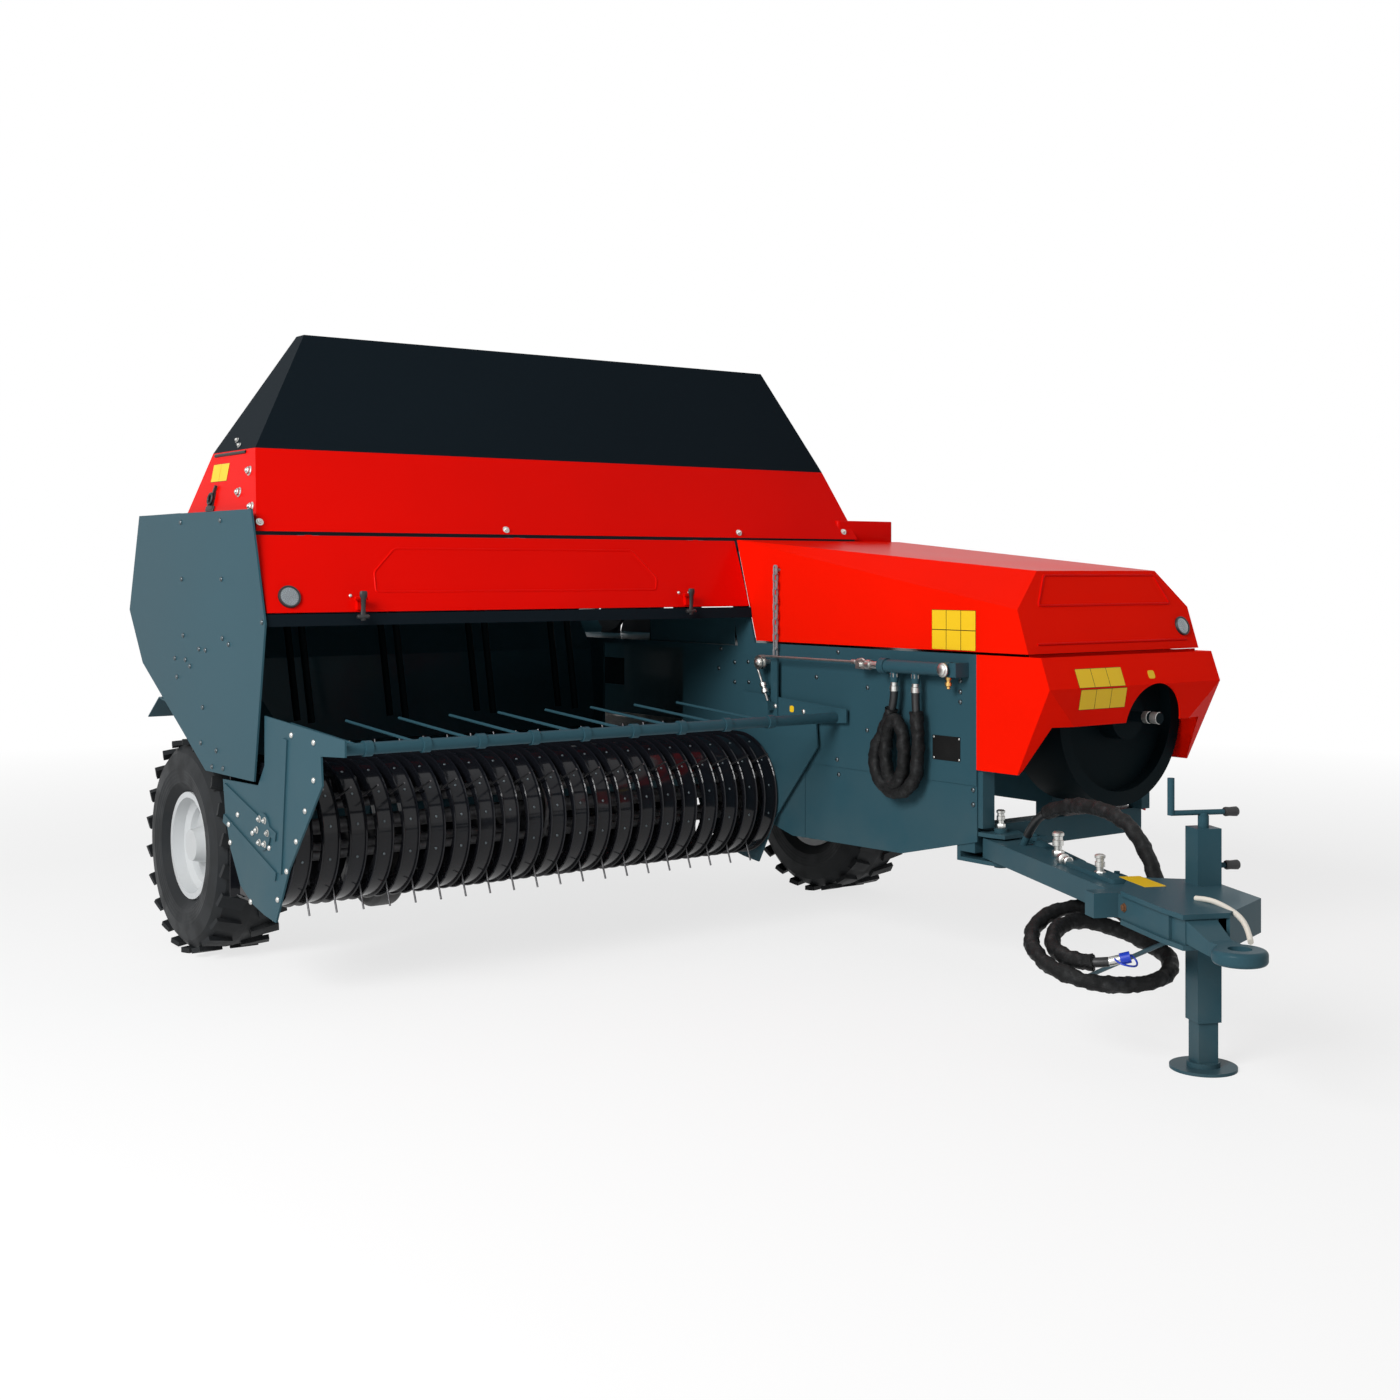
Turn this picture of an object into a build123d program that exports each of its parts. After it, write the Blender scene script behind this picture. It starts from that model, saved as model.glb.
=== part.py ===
"""Square baler: a drawn machine that picks hay up from the swath and presses it into bales.

Millimetres, +Z up. The machine travels towards -Y, so +X is its left side. The origin is on the
ground, in the middle of the machine's length and width. It stands on its two wheels and its jack,
with the pickup raised and the drawbar swung to the right.
"""
import os
from math import acos, atan2, cos, hypot, radians, sin, tan

from build123d import *

os.makedirs("parts", exist_ok=True)

# ---------------------------------------------------------------- driving sizes
SHEET = 6                      # thickness of body sheets
GAP = 7                        # running gap between covers and what stands beside them
SEAT = 0.3                     # gap of a piece that rests against its neighbour

# bale chamber
CHAMBER_X = 708                # middle of the chamber
CHAMBER_WIDTH = 490            # inside
CHAMBER_HEIGHT = 360           # inside
CHAMBER_WALL = 8
CHAMBER_FLOOR_Z = 645          # top of the floor
CHAMBER_FRONT_Y = -1016
GUARD_LOW_Z = 667              # lowest edge of the nose guard
CHAMBER_REAR_Y = 2330
WALL_R = CHAMBER_X - CHAMBER_WIDTH / 2 - CHAMBER_WALL      # outer face of the right wall
WALL_L = CHAMBER_X + CHAMBER_WIDTH / 2 + CHAMBER_WALL      # outer face of the left wall
CHAMBER_TOP_Z = CHAMBER_FLOOR_Z + CHAMBER_HEIGHT
WALL_TOP_Z = 1018              # top of the wall under the nose hood

# wheels
TYRE_R = 355
TYRE_WIDTH = 250
LUG_HEIGHT = 13
LUG_COUNT = 22
RIM_R = 165
RIM_WIDTH = 180                # between the bead seats' flanges
WHEELS = {"right": (-1185, 920), "left": (1215, 550)}      # middle plane x, axle y
SPINDLE_R = 26

# feeder housing
END_X = -1364                  # outer face of the right side panel

# pickup
REEL_Y = 115
REEL_Z = 505
TIP_R = 275
TINE_PITCH = 85.7
TINE_COUNT = 20
TINE_FIRST_X = -1270
TINE_WIRE_R = 3
TINE_BARS = 4
BAND_Y = 125
BAND_Z = 489
BAND_R = 206
BAND_WIDTH = 56
BAND_BACK = REEL_Y + TIP_R + 7      # rear end of the bands' top run
BAND_FOOT = 340                # rear end of their bottom run
PIVOT_Y = 690                  # pickup lift pivot
PIVOT_Z = 560
PIVOT_R = 22
GUARD_Y = -384                 # windguard tube
GUARD_Z = 785
GUARD_R = 17

# nose
NOSE_LEFT = 1245               # outer face of the nose on the left side
HINGE_Y = 176                  # rear hinge of the nose hood
HINGE_Z = 1380
DRIVE_X = 945                  # flywheel and input shaft
DRIVE_Z = 820
FLYWHEEL_R = 285
FLYWHEEL_Y = (-1165, -965)
HUB_Y = -1045                  # rear face of the flywheel's hub

# drawbar
POLE_X = 515
POLE_Y = -1060
POLE_LOW = 400                 # underside of the drawbar's tube
POLE_TOP = 460
POLE_WIDTH = 100
POLE_LENGTH = 1420             # pivot to the middle of the towing eye
POLE_END = 240 - POLE_LENGTH   # front end of the drawbar's tube
EYE_Z = 410
POLE_TURN = -24.5              # degrees from straight ahead, parked
PIVOT_PIN_R = 20


# ---------------------------------------------------------------- shape helpers
def block(x0, x1, y0, y1, z0, z1):
    return Pos((x0 + x1) / 2, (y0 + y1) / 2, (z0 + z1) / 2) * Box(x1 - x0, y1 - y0, z1 - z0)


def prism(plane, points, depth):
    return extrude(plane * make_face(Polyline(*points, close=True)), depth)


def side_plate(points, x0, x1):
    """A plate standing across X, from its (y, z) outline."""
    return prism(Plane(origin=(x0, 0, 0), x_dir=(0, 1, 0), z_dir=(1, 0, 0)), points, x1 - x0)


def front_plate(points, y0, y1):
    """A plate standing across Y, from its (x, z) outline."""
    return prism(Plane(origin=(0, y1, 0), x_dir=(1, 0, 0), z_dir=(0, -1, 0)), points, y1 - y0)


def flat_plate(points, z0, z1):
    """A level plate, from its (x, y) outline."""
    return prism(Plane.XY.offset(z0), points, z1 - z0)


def rod(start, end, radius):
    a, b = Vector(*start), Vector(*end)
    return Plane(origin=a, z_dir=b - a) * Cylinder(
        radius, (b - a).length, align=(Align.CENTER, Align.CENTER, Align.MIN))


def disc_x(y, z, radius, x0, x1):
    return rod((x0, y, z), (x1, y, z), radius)


def bent(points, thickness, x0, x1):
    """A sheet bent along X that follows (y, z) points, its thickness on the left of their way."""
    inner = []
    for i, (y, z) in enumerate(points):
        ways = []
        for a, b in ((i - 1, i), (i, i + 1)):
            if 0 <= a and b < len(points):
                dy, dz = points[b][0] - points[a][0], points[b][1] - points[a][1]
                ways.append((-dz / hypot(dy, dz), dy / hypot(dy, dz)))
        ny, nz = sum(w[0] for w in ways), sum(w[1] for w in ways)
        stretch = len(ways) * thickness / (ny * ny + nz * nz)
        if len(ways) == 2:
            stretch = 2 * thickness / (ny * ny + nz * nz)
        inner.append((y + ny * stretch, z + nz * stretch))
    return side_plate(list(points) + inner[::-1], x0, x1)


def polyhedron(corners, faces):
    walls = [Face(Wire.make_polygon([Vector(*corners[c]) for c in face], close=True)) for face in faces]
    return Solid(Shell(walls))


def save(shape, node):
    export_step(shape, f"parts/{node}.step")


# ---------------------------------------------------------------- frame
BEAM_TOP = CHAMBER_FLOOR_Z - CHAMBER_WALL
BEAM_HEIGHT = 117
BEAM_WIDTH = 60
AXLE_SIZE = 100
AXLE_Y = 810
CROSS_Y = (POLE_Y + 58, POLE_Y + 134)          # front cross member
CROSS_Z = (412, 490)
BEAM_RIGHT = (WALL_R + 9, WALL_R + 9 + BEAM_WIDTH)
BEAM_LEFT = (WALL_L - 9 - BEAM_WIDTH, WALL_L - 9)


def main_frame():
    inner = WALL_R + CHAMBER_WALL
    frame = block(inner, NOSE_LEFT - 5, *CROSS_Y, *CROSS_Z)
    for x0, x1 in (BEAM_RIGHT, BEAM_LEFT):
        frame += block(x0, x1, CROSS_Y[1], 1300, BEAM_TOP - BEAM_HEIGHT, BEAM_TOP)
        frame += block(x0, x1, CROSS_Y[1], CROSS_Y[1] + 70, CROSS_Z[1] - 60, BEAM_TOP)
    front = CHAMBER_FRONT_Y - 20
    for x0, x1 in ((inner, inner + 50), (NOSE_LEFT - 45, NOSE_LEFT - 5)):
        frame += block(x0, x1, front, CROSS_Y[0] + 20, CROSS_Z[1], GUARD_LOW_Z - SEAT)
    # clevis that carries the drawbar: two plates and a back web
    plates = [(inner, CROSS_Y[1]), (inner, POLE_Y), (POLE_X - 40, POLE_Y - 55),
              (POLE_X + 40, POLE_Y - 55), (POLE_X + 75, POLE_Y), (POLE_X + 75, CROSS_Y[1])]
    top_z, low_z = POLE_TOP + 6, POLE_LOW - 6
    frame += flat_plate(plates, top_z, top_z + 12)
    frame += flat_plate(plates, low_z - 12, low_z)
    frame += block(inner, POLE_X + 75, CROSS_Y[1] - 14, CROSS_Y[1], low_z, top_z)
    frame += rod((POLE_X, POLE_Y, low_z - 22), (POLE_X, POLE_Y, top_z + 24), PIVOT_PIN_R)
    # lug for the swing cylinder
    sx, sy = SWING_BASE
    lug = [(sx - 35, CROSS_Y[0]), (sx - 24, sy - 30), (sx + 24, sy - 30), (sx + 35, CROSS_Y[0]),
           (sx + 35, CROSS_Y[0] + 22), (sx - 35, CROSS_Y[0] + 22)]
    for z in (SWING_Z - 34, SWING_Z + 22):
        frame += flat_plate(lug, z, z + 12)
    frame += block(sx - 35, sx + 35, CROSS_Y[0] + 10, CROSS_Y[0] + 22, SWING_Z - 34, CROSS_Z[0])
    frame += rod((sx, sy, SWING_Z - 40), (sx, sy, SWING_Z + 42), 10)
    return frame


def axle_frame():
    top = BEAM_TOP - BEAM_HEIGHT
    right_x, right_y = WHEELS["right"]
    left_x, left_y = WHEELS["left"]
    arm = 30
    right_arm = right_x + TYRE_WIDTH / 2 + 25
    left_arm = left_x - TYRE_WIDTH / 2 - 25
    beam = block(right_arm, left_arm, AXLE_Y - AXLE_SIZE / 2, AXLE_Y + AXLE_SIZE / 2, top - AXLE_SIZE, top)
    for x0, x1, y, hub in ((right_arm, right_arm + arm, right_y, right_x),
                           (left_arm - arm, left_arm, left_y, left_x)):
        side = 1 if y > AXLE_Y else -1
        back = AXLE_Y - side * AXLE_SIZE / 2
        beam += side_plate([(back, top), (AXLE_Y + side * AXLE_SIZE / 2, top), (y + side * 55, TYRE_R + 40),
                            (y + side * 55, TYRE_R - 45), (y - side * 45, TYRE_R - 55),
                            (back, top - AXLE_SIZE)][::side], x0, x1)
        beam += rod((x0 + arm / 2, y, TYRE_R), (hub, y, TYRE_R), SPINDLE_R)
    # brackets of the pickup's lift pivot and its cross tube
    for x in PIVOT_BRACKETS:
        beam += side_plate([(AXLE_Y - AXLE_SIZE / 2, top), (PIVOT_Y + 10, PIVOT_Z + 40), (PIVOT_Y - 34, PIVOT_Z + 30),
                            (PIVOT_Y - 34, PIVOT_Z - 30), (AXLE_Y - AXLE_SIZE / 2, top - AXLE_SIZE)],
                           x - 8, x + 8)
    beam += disc_x(PIVOT_Y, PIVOT_Z, PIVOT_R, PIVOT_BRACKETS[0] - 8, PIVOT_BRACKETS[1] + 8)
    return beam


PIVOT_BRACKETS = (-930, 380)
PIVOT_ARMS = (-900, 350)
SWING_BASE = (POLE_X + 150, POLE_Y)
SWING_Z = 420
SWING_EYE_LOCAL = (85, -620)       # on the drawbar, from its pivot, drawbar straight ahead


def on_pole(x, y, z=0.0):
    """A point given from the drawbar's pivot with the drawbar straight ahead, put where it is parked."""
    c, s = cos(radians(POLE_TURN)), sin(radians(POLE_TURN))
    return (POLE_X + x * c - y * s, POLE_Y + x * s + y * c, z)


def parked(shape):
    """Turns a piece drawn from the pivot, straight ahead, to the parked drawbar."""
    return Pos(POLE_X, POLE_Y, 0) * Rot(0, 0, POLE_TURN) * shape


# ---------------------------------------------------------------- bale chamber
FEED_Y = (506, 1050)               # feed opening in the right wall
ROOF_REAR_Y = 1640
STAR_Y = 1735
STAR_Z = CHAMBER_TOP_Z + 96
TENSION_Y = 2240
NEEDLE_Y = 1420
SKIRT_REAR_Y = -205                # thinner skirt under the right wall's outer sheet
SKIRT_TOP_Z = 618


def wall_rear():
    """Rear and top of a chamber wall, with the chute's hinge tab and the post behind the nose hood."""
    y, low = CHAMBER_REAR_Y, CHAMBER_FLOOR_Z - 60
    return [(y, low), (y + 36, low + 25), (y + 36, low + 60), (y, low + 90), (y, CHAMBER_TOP_Z),
            (170, CHAMBER_TOP_Z), (240, 1344 - SEAT), (174, 1344 - SEAT), (72, WALL_TOP_Z), (66, WALL_TOP_Z)]


def chamber_wall_right():
    x0, x1 = WALL_R, WALL_R + CHAMBER_WALL
    outline = [(CHAMBER_FRONT_Y, WALL_TOP_Z), (CHAMBER_FRONT_Y, 448), (-684, 370), (-140, 360), (420, 500),
               (700, 560), (1240, 560), (1300, CHAMBER_FLOOR_Z - 60)] + wall_rear()
    wall = side_plate(outline, x0, x1)
    wall -= block(x0 - 5, x1 + 5, *FEED_Y, CHAMBER_FLOOR_Z + 15, CHAMBER_TOP_Z - 20)
    wall -= block(x0 - 5, x0 + 3, CHAMBER_FRONT_Y - 1, SKIRT_REAR_Y, 300, SKIRT_TOP_Z)
    for i in range(2):
        y = 1640 + 330 * i
        wall -= block(x0 - 5, x1 + 5, y, y + 250, CHAMBER_FLOOR_Z + 120, CHAMBER_TOP_Z - 120)
    return wall


def chamber_wall_left():
    x0, x1 = WALL_L - CHAMBER_WALL, WALL_L
    wall = side_plate([(-640, WALL_TOP_Z), (-640, CHAMBER_FLOOR_Z - 60)] + wall_rear(), x0, x1)
    for i in range(2):
        y = 1640 + 330 * i
        wall -= block(x0 - 5, x1 + 5, y, y + 250, CHAMBER_FLOOR_Z + 120, CHAMBER_TOP_Z - 120)
    return wall


def needle_slots():
    cuts = [block(CHAMBER_X + s * 130 - 20, CHAMBER_X + s * 130 + 20, NEEDLE_Y - 10, NEEDLE_Y + 170, 600, 1100)
            for s in (-1, 1)]
    return cuts[0] + cuts[1]


def chamber_floor():
    floor = block(WALL_R + CHAMBER_WALL, WALL_L - CHAMBER_WALL, -640, CHAMBER_REAR_Y,
                  CHAMBER_FLOOR_Z - CHAMBER_WALL, CHAMBER_FLOOR_Z)
    return floor - needle_slots()


def chamber_roof():
    roof = block(WALL_R + CHAMBER_WALL, WALL_L - CHAMBER_WALL, -640, ROOF_REAR_Y,
                 CHAMBER_TOP_Z - CHAMBER_WALL, CHAMBER_TOP_Z)
    return roof - needle_slots()


def chamber_rails():
    """Two top rails that squeeze the bale, hinged at the front and drawn down at the rear."""
    rails = None
    for s in (-1, 1):
        x = CHAMBER_X + s * 150
        rail = block(x - 45, x + 45, ROOF_REAR_Y + SEAT, CHAMBER_REAR_Y, CHAMBER_TOP_Z - 14, CHAMBER_TOP_Z - 6)
        rail += block(x - 5, x + 5, ROOF_REAR_Y + SEAT, CHAMBER_REAR_Y, CHAMBER_TOP_Z - 6, CHAMBER_TOP_Z + 54)
        rail += block(x - 5, x + 5, STAR_Y - 30, STAR_Y + 30, CHAMBER_TOP_Z + 54, STAR_Z + 26)
        rails = rail if rails is None else rails + rail
    for y in (1890, 2060, TENSION_Y):
        rails += block(WALL_R + CHAMBER_WALL + 2, WALL_L - CHAMBER_WALL - 2, y - 20, y + 20,
                       CHAMBER_TOP_Z + 54, CHAMBER_TOP_Z + 84)
    return rails


def tension_screws():
    """Screws, springs and cranks at the rear that draw the rails and the lower beam together."""
    low_z, top_z = CHAMBER_FLOOR_Z - 92, CHAMBER_TOP_Z + 84 + SEAT
    rig = block(WALL_R - 62, WALL_L + 62, TENSION_Y - 25, TENSION_Y + 25, low_z, low_z + 32)
    rig += block(WALL_R - 62, WALL_L + 62, TENSION_Y - 25, TENSION_Y + 25, top_z, top_z + 30)
    for s in (-1, 1):
        x = WALL_R - 40 if s < 0 else WALL_L + 40
        rig += rod((x, TENSION_Y, low_z + 10), (x, TENSION_Y, top_z + 230), 12)
        for turn in range(8):
            z = top_z + 36 + turn * 15
            rig += Pos(x, TENSION_Y, z) * Torus(24, 5)
        rig += rod((x, TENSION_Y, top_z + 29), (x, TENSION_Y, top_z + 34), 30)
        rig += rod((x, TENSION_Y, top_z + 34), (x, TENSION_Y, top_z + 150), 20)
        rig += rod((x, TENSION_Y, top_z + 150), (x, TENSION_Y, top_z + 160), 30)
        rig += rod((x, TENSION_Y, top_z + 222), (x + s * 130, TENSION_Y, top_z + 222), 8)
        rig += rod((x + s * 124, TENSION_Y, top_z + 222), (x + s * 124, TENSION_Y, top_z + 300), 10)
    return rig


def needle_yoke():
    yoke = block(WALL_R - 28, WALL_R - SEAT, NEEDLE_Y - 260, NEEDLE_Y - 220, 250, 640)
    yoke += block(WALL_L + SEAT, WALL_L + 28, NEEDLE_Y - 260, NEEDLE_Y - 220, 250, 640)
    yoke += block(WALL_R - 28, WALL_L + 28, NEEDLE_Y - 262, NEEDLE_Y - 218, 220, 262)
    reach = 390
    for s in (-1, 1):
        x = CHAMBER_X + s * 130
        plane = Plane(origin=(x - 7, 0, 0), x_dir=(0, 1, 0), z_dir=(1, 0, 0))
        centre = (NEEDLE_Y - 235, 620)
        arcs = []
        for r in (reach, reach - 42):
            arcs.append([(centre[0] + r * cos(radians(a)), centre[1] + r * sin(radians(a))) for a in (-90, -48, -6)])
        outer, inner = arcs
        edge = [ThreePointArc(*outer), Line(outer[2], inner[2]), ThreePointArc(*inner[::-1]),
                Line(inner[0], outer[0])]
        yoke += extrude(plane * make_face(Curve() + edge), 14)
    return yoke


def knotter_unit():
    base_z = CHAMBER_TOP_Z
    y = NEEDLE_Y + 80
    unit = None
    for x in (WALL_R + 20, WALL_L - 34):
        cheek = side_plate([(y - 110, base_z), (y - 60, base_z + 190), (y + 50, base_z + 190), (y + 130, base_z)],
                           x, x + 14)
        unit = cheek if unit is None else unit + cheek
    unit += disc_x(y - 5, base_z + 130, 20, WALL_R - 30, WALL_L + 40)
    for s in (-1, 1):
        x = CHAMBER_X + s * 130
        unit += disc_x(y - 5, base_z + 130, 118, x - 62, x - 46) - block(x - 70, x - 40, y + 60, y + 130, base_z + 60, base_z + 130)
        unit += side_plate([(y - 40, base_z), (y - 50, base_z + 90), (y - 5, base_z + 175), (y + 60, base_z + 120),
                            (y + 90, base_z)], x - 40, x - 26)
        unit += disc_x(y + 45, base_z + 75, 36, x - 26, x + 2)
        unit += rod((x + 8, y + 45, base_z + 20), (x - 12, y + 45, base_z + 75), 11)
        unit += disc_x(y - 5, base_z + 130, 40, x - 46, x + 26)
    unit += disc_x(y - 5, base_z + 130, 95, WALL_L + 20, WALL_L + 40)
    return unit


def star_wheel():
    """Toothed wheel on the chamber's top that the moving bale turns, to meter its length."""
    y, z = STAR_Y, STAR_Z
    wheel = disc_x(y, z, 88, CHAMBER_X - 4, CHAMBER_X + 4)
    for i in range(10):
        a = radians(36 * i)
        tip = (y + 118 * cos(a), z + 118 * sin(a))
        left = (y + 84 * cos(a + 0.2), z + 84 * sin(a + 0.2))
        right = (y + 84 * cos(a - 0.2), z + 84 * sin(a - 0.2))
        wheel += side_plate([left, tip, right], CHAMBER_X - 4, CHAMBER_X + 4)
    wheel += disc_x(y, z, 26, CHAMBER_X - 24, CHAMBER_X + 24)
    wheel += disc_x(y, z, 12, CHAMBER_X - 145 + SEAT, CHAMBER_X + 145 - SEAT)
    return wheel


def bale_chute():
    """Rear chute, folded up for the road; it hinges on the floor's rear edge."""
    y = CHAMBER_REAR_Y + 12
    z = CHAMBER_FLOOR_Z - 20
    x0, x1 = WALL_R + 20, WALL_L - 20
    chute = block(x0, x1, y, y + 5, z, z + 520)
    for x in (x0, x1 - 5):
        chute += block(x, x + 5, y, y + 45, z, z + 520)
    for zz in (z + 150, z + 360):
        chute += block(x0, x1, y + 5, y + 30, zz, zz + 25)
    chute += disc_x(y + 8, z, 10, WALL_R + CHAMBER_WALL + SEAT, WALL_L - CHAMBER_WALL - SEAT)
    return chute


# ---------------------------------------------------------------- feeder housing
SLOPE = (959 - 645) / (1144 - 554)             # rise of the sloped floor over the right wheel
PANEL = [(1179, 1461), (183, 1457), (77, 1118), (160, 648), (554, 645), (1144, 959), (1280, 1138)]


def side_panel_right():
    return side_plate(PANEL, END_X, END_X + SHEET)


def feeder_shell():
    """Floor, back and top of the feeder housing; its floor rises at the end over the right wheel."""
    step_x = WHEELS["right"][0] + TYRE_WIDTH / 2 + 20
    back = [(1144, 959), (1280, 1138), (1179, 1461), (807, 1461)]
    shell = bent([(400, 645), (1120, 645)] + back, SHEET, step_x, WALL_R)
    shell += bent([(400, 645), (554, 645)] + back, SHEET, END_X + SHEET, step_x)
    shell += side_plate([(560, 646), (1119, 646), (1143, 957)], step_x - 1, step_x + SHEET)
    shell += bent(back[1:], SHEET, WALL_R, WALL_L)
    shell += side_plate([(1278, 1142), (1178, 1458), (1100, 1458), (1060, CHAMBER_TOP_Z), (1240, CHAMBER_TOP_Z)],
                        WALL_L - SHEET, WALL_L - 1)
    return shell


def mudguard():
    tyre_x = WHEELS["right"][0]
    half = TYRE_WIDTH / 2 + 12
    guard = bent([(1212, 770), (1103, 843), (888, 816)], 4, tyre_x - half, tyre_x + half)
    for x in (tyre_x - half + 10, tyre_x + half - 16):
        guard += side_plate([(1060, 834), (1100, 838), (1100, 645 + 546 * SLOPE - SEAT),
                             (1060, 645 + 506 * SLOPE - SEAT)], x, x + 5)
    return guard


def feeder_forks():
    """Feeder beam with its forks, which sweep the crop into the chamber."""
    beam = block(-1180, 380, 760, 820, 1150, 1210)
    for x in (-970, -620, -270, 80):
        for dy in (-60, 60):
            y = 790 + dy
            beam += rod((x, 790, 1180), (x, y, 1100), 14)
            beam += rod((x, y, 1106), (x + 40, y, 760), 12)
    beam += block(END_X + SHEET + SEAT, WALL_R - SEAT, 770, 810, 1214, 1250)
    beam += block(-100, -60, 770, 810, 1208, 1216)
    return beam


HOOD_LOW = (1392, -1345, 1045, 188, 850)      # z, x0, x1, y0, y1
HOOD_MID = (1650, -1295, 979, 320, 670)
HOOD_TOP = (2030, -1071, 798, 470, 530)


def tapered(levels, inset, drop=0):
    """A tapered box between levels of (z, x0, x1, y0, y1), drawn in by inset."""
    faces = []
    for i, (z, x0, x1, y0, y1) in enumerate(levels):
        lift = -drop if i == len(levels) - 1 else 0
        a, b, c, d = x0 + inset, x1 - inset, y0 + inset, y1 - inset
        faces.append(Face(Wire.make_polygon([Vector(a, c, z + lift), Vector(b, c, z + lift),
                                             Vector(b, d, z + lift), Vector(a, d, z + lift)], close=True)))
    return Solid.make_loft([f.outer_wire() for f in faces], ruled=True)


def hood_lower():
    shell = tapered([HOOD_LOW, HOOD_MID], 0) - tapered([HOOD_LOW, HOOD_MID], SHEET)
    return shell


def hood_upper():
    outer = tapered([HOOD_MID, HOOD_TOP], 0)
    inner = tapered([HOOD_MID, HOOD_TOP], SHEET, SHEET)
    return outer - inner


COVER_X = (END_X + SHEET + GAP, WALL_R - 8)
COVER_TOP = (180, 1380)
COVER_LOW = (92, 1149)
COVER_AXIS = (191, 1375)
COVER_HINGES = (-1180, -450, 280)
NOSE_AXIS = (186, 1376)
NOSE_HINGES = (560, 880)
RAIL_Y = 206
LIP_LOW = (86, 1108)


def hinge(x, y, z, rail_y):
    """A hinge's two halves: knuckles with the pin on a leaf to the rail, and the knuckle between them."""
    fixed = disc_x(y, z, 3, x - 34, x + 34)
    for x0 in (x - 34, x + 12):
        fixed += disc_x(y, z, 7, x0, x0 + 22) + block(x0, x0 + 22, y, rail_y, z - 3, z + 3)
    reach = 12 - SEAT
    moving = disc_x(y, z, 7, x - reach, x + reach) + block(x - reach, x + reach, y - 12, y, z - 3, z + 3)
    return fixed, moving - disc_x(y, z, 3.1, x - 12, x + 12)


def front_cover():
    """Long cover in front of the feeder housing, hinged along its top edge."""
    x0, x1 = COVER_X
    cover = bent([COVER_LOW, COVER_TOP], -4, x0, x1)
    for x in (x0, x1 - 4):
        cover += side_plate([COVER_LOW, COVER_TOP, (COVER_TOP[0] + 20, COVER_TOP[1] - 8),
                             (COVER_LOW[0] + 24, COVER_LOW[1])], x, x + 4)
    for x in LATCHES:
        cover += block(x - 9, x + 9, COVER_LOW[0] - 8, COVER_LOW[0] + 8, COVER_LOW[1] + 6, COVER_LOW[1] + 46)
        cover += rod((x - 20, COVER_LOW[0] - 12, COVER_LOW[1] + 40),
                     (x + 20, COVER_LOW[0] - 12, COVER_LOW[1] + 40), 6)
    for x in COVER_HINGES:
        cover += hinge(x, *COVER_AXIS, RAIL_Y)[1]
    return cover


def intake_lip():
    """Fixed beam under the cover, over the mouth of the feeder housing."""
    y, z = LIP_LOW
    return side_plate([(y, z), (y + 6, z + 36), (y + 44, z + 36), (y + 44, z)], END_X + SHEET, WALL_R)


def top_rails():
    """Angle rails along the housing's top that carry the black hood and the cover's hinge."""
    rail = block(END_X + SHEET, HOOD_LOW[2], RAIL_Y, RAIL_Y + 40, 1384, HOOD_LOW[0])
    rail += block(END_X + SHEET, WALL_L, RAIL_Y, RAIL_Y + 6, 1344, 1384)
    for x in COVER_HINGES:
        rail += hinge(x, *COVER_AXIS, RAIL_Y)[0]
    for x in NOSE_HINGES:
        rail += hinge(x, *NOSE_AXIS, RAIL_Y)[0]
    return rail


LATCHES = (-1057, 172)


def drive_cover_left():
    """Closed cover at the left end of the housing, over the feeder's drive."""
    x0, x1 = WALL_L, NOSE_LEFT
    return block(x0, x1, 196, 640, CHAMBER_TOP_Z - 120, 1384) - \
        block(x0 + 5, x1 - 5, 201, 635, CHAMBER_TOP_Z - 130, 1379)


# ---------------------------------------------------------------- nose
HOOD_BOTTOM = 1026


HOOD_FACES = [(0, 1, 3, 2), (0, 2, 4), (1, 5, 3), (0, 4, 6, 8), (1, 9, 7, 5), (2, 3, 5, 4), (4, 5, 7, 6),
              (6, 7, 9, 8), (0, 8, 9, 1)]
VISOR_FACES = [(0, 1, 3, 2), (2, 3, 5, 4), (4, 5, 7, 6), (4, 6, 8), (5, 9, 7), (6, 7, 9, 8),
               (8, 9, 11, 10), (0, 2, 4, 8, 10), (1, 11, 9, 5, 3), (0, 10, 11, 1)]


def hood_body(inset, low, rear_shift):
    x0, x1 = WALL_R + inset, NOSE_LEFT - inset
    corners = [(x0, HINGE_Y + rear_shift, 1384 - inset), (x1, HINGE_Y + rear_shift, 1384 - inset),
               (x0 + 121, -1150 + inset, 1273 - inset), (x1 - 121, -1150 + inset, 1273 - inset),
               (x0, -1184 + inset, 1157), (x1, -1184 + inset, 1157),
               (x0, -1228 + inset, low), (x1, -1228 + inset, low),
               (x0, 62 + rear_shift, low), (x1, 62 + rear_shift, low)]
    return polyhedron(corners, HOOD_FACES)


def nose_hood():
    """Low faceted hood over the drive, hinged at its rear edge."""
    hood = hood_body(0, HOOD_BOTTOM, 0) - hood_body(5, HOOD_BOTTOM - 30, 20)
    for x in NOSE_HINGES:
        hood += hinge(x, *NOSE_AXIS, RAIL_Y)[1]
    return hood


def visor_body(inset, more):
    x0, x1 = WALL_R + inset, NOSE_LEFT - inset
    back, top, low = CHAMBER_FRONT_Y - SEAT + more, WALL_TOP_Z + more, GUARD_LOW_Z - more
    corners = [(x0, back, top), (x1, back, top), (x0, -1277 + inset, top), (x1, -1277 + inset, top),
               (x0, -1311 + inset, 926), (x1, -1311 + inset, 926),
               (x0 + 128, -1290 + inset, 812 - more), (x1 - 128, -1290 + inset, 812 - more),
               (x0, -1184 + inset, low), (x1, -1184 + inset, low), (x0, back, low), (x1, back, low)]
    return polyhedron(corners, VISOR_FACES)


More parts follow.
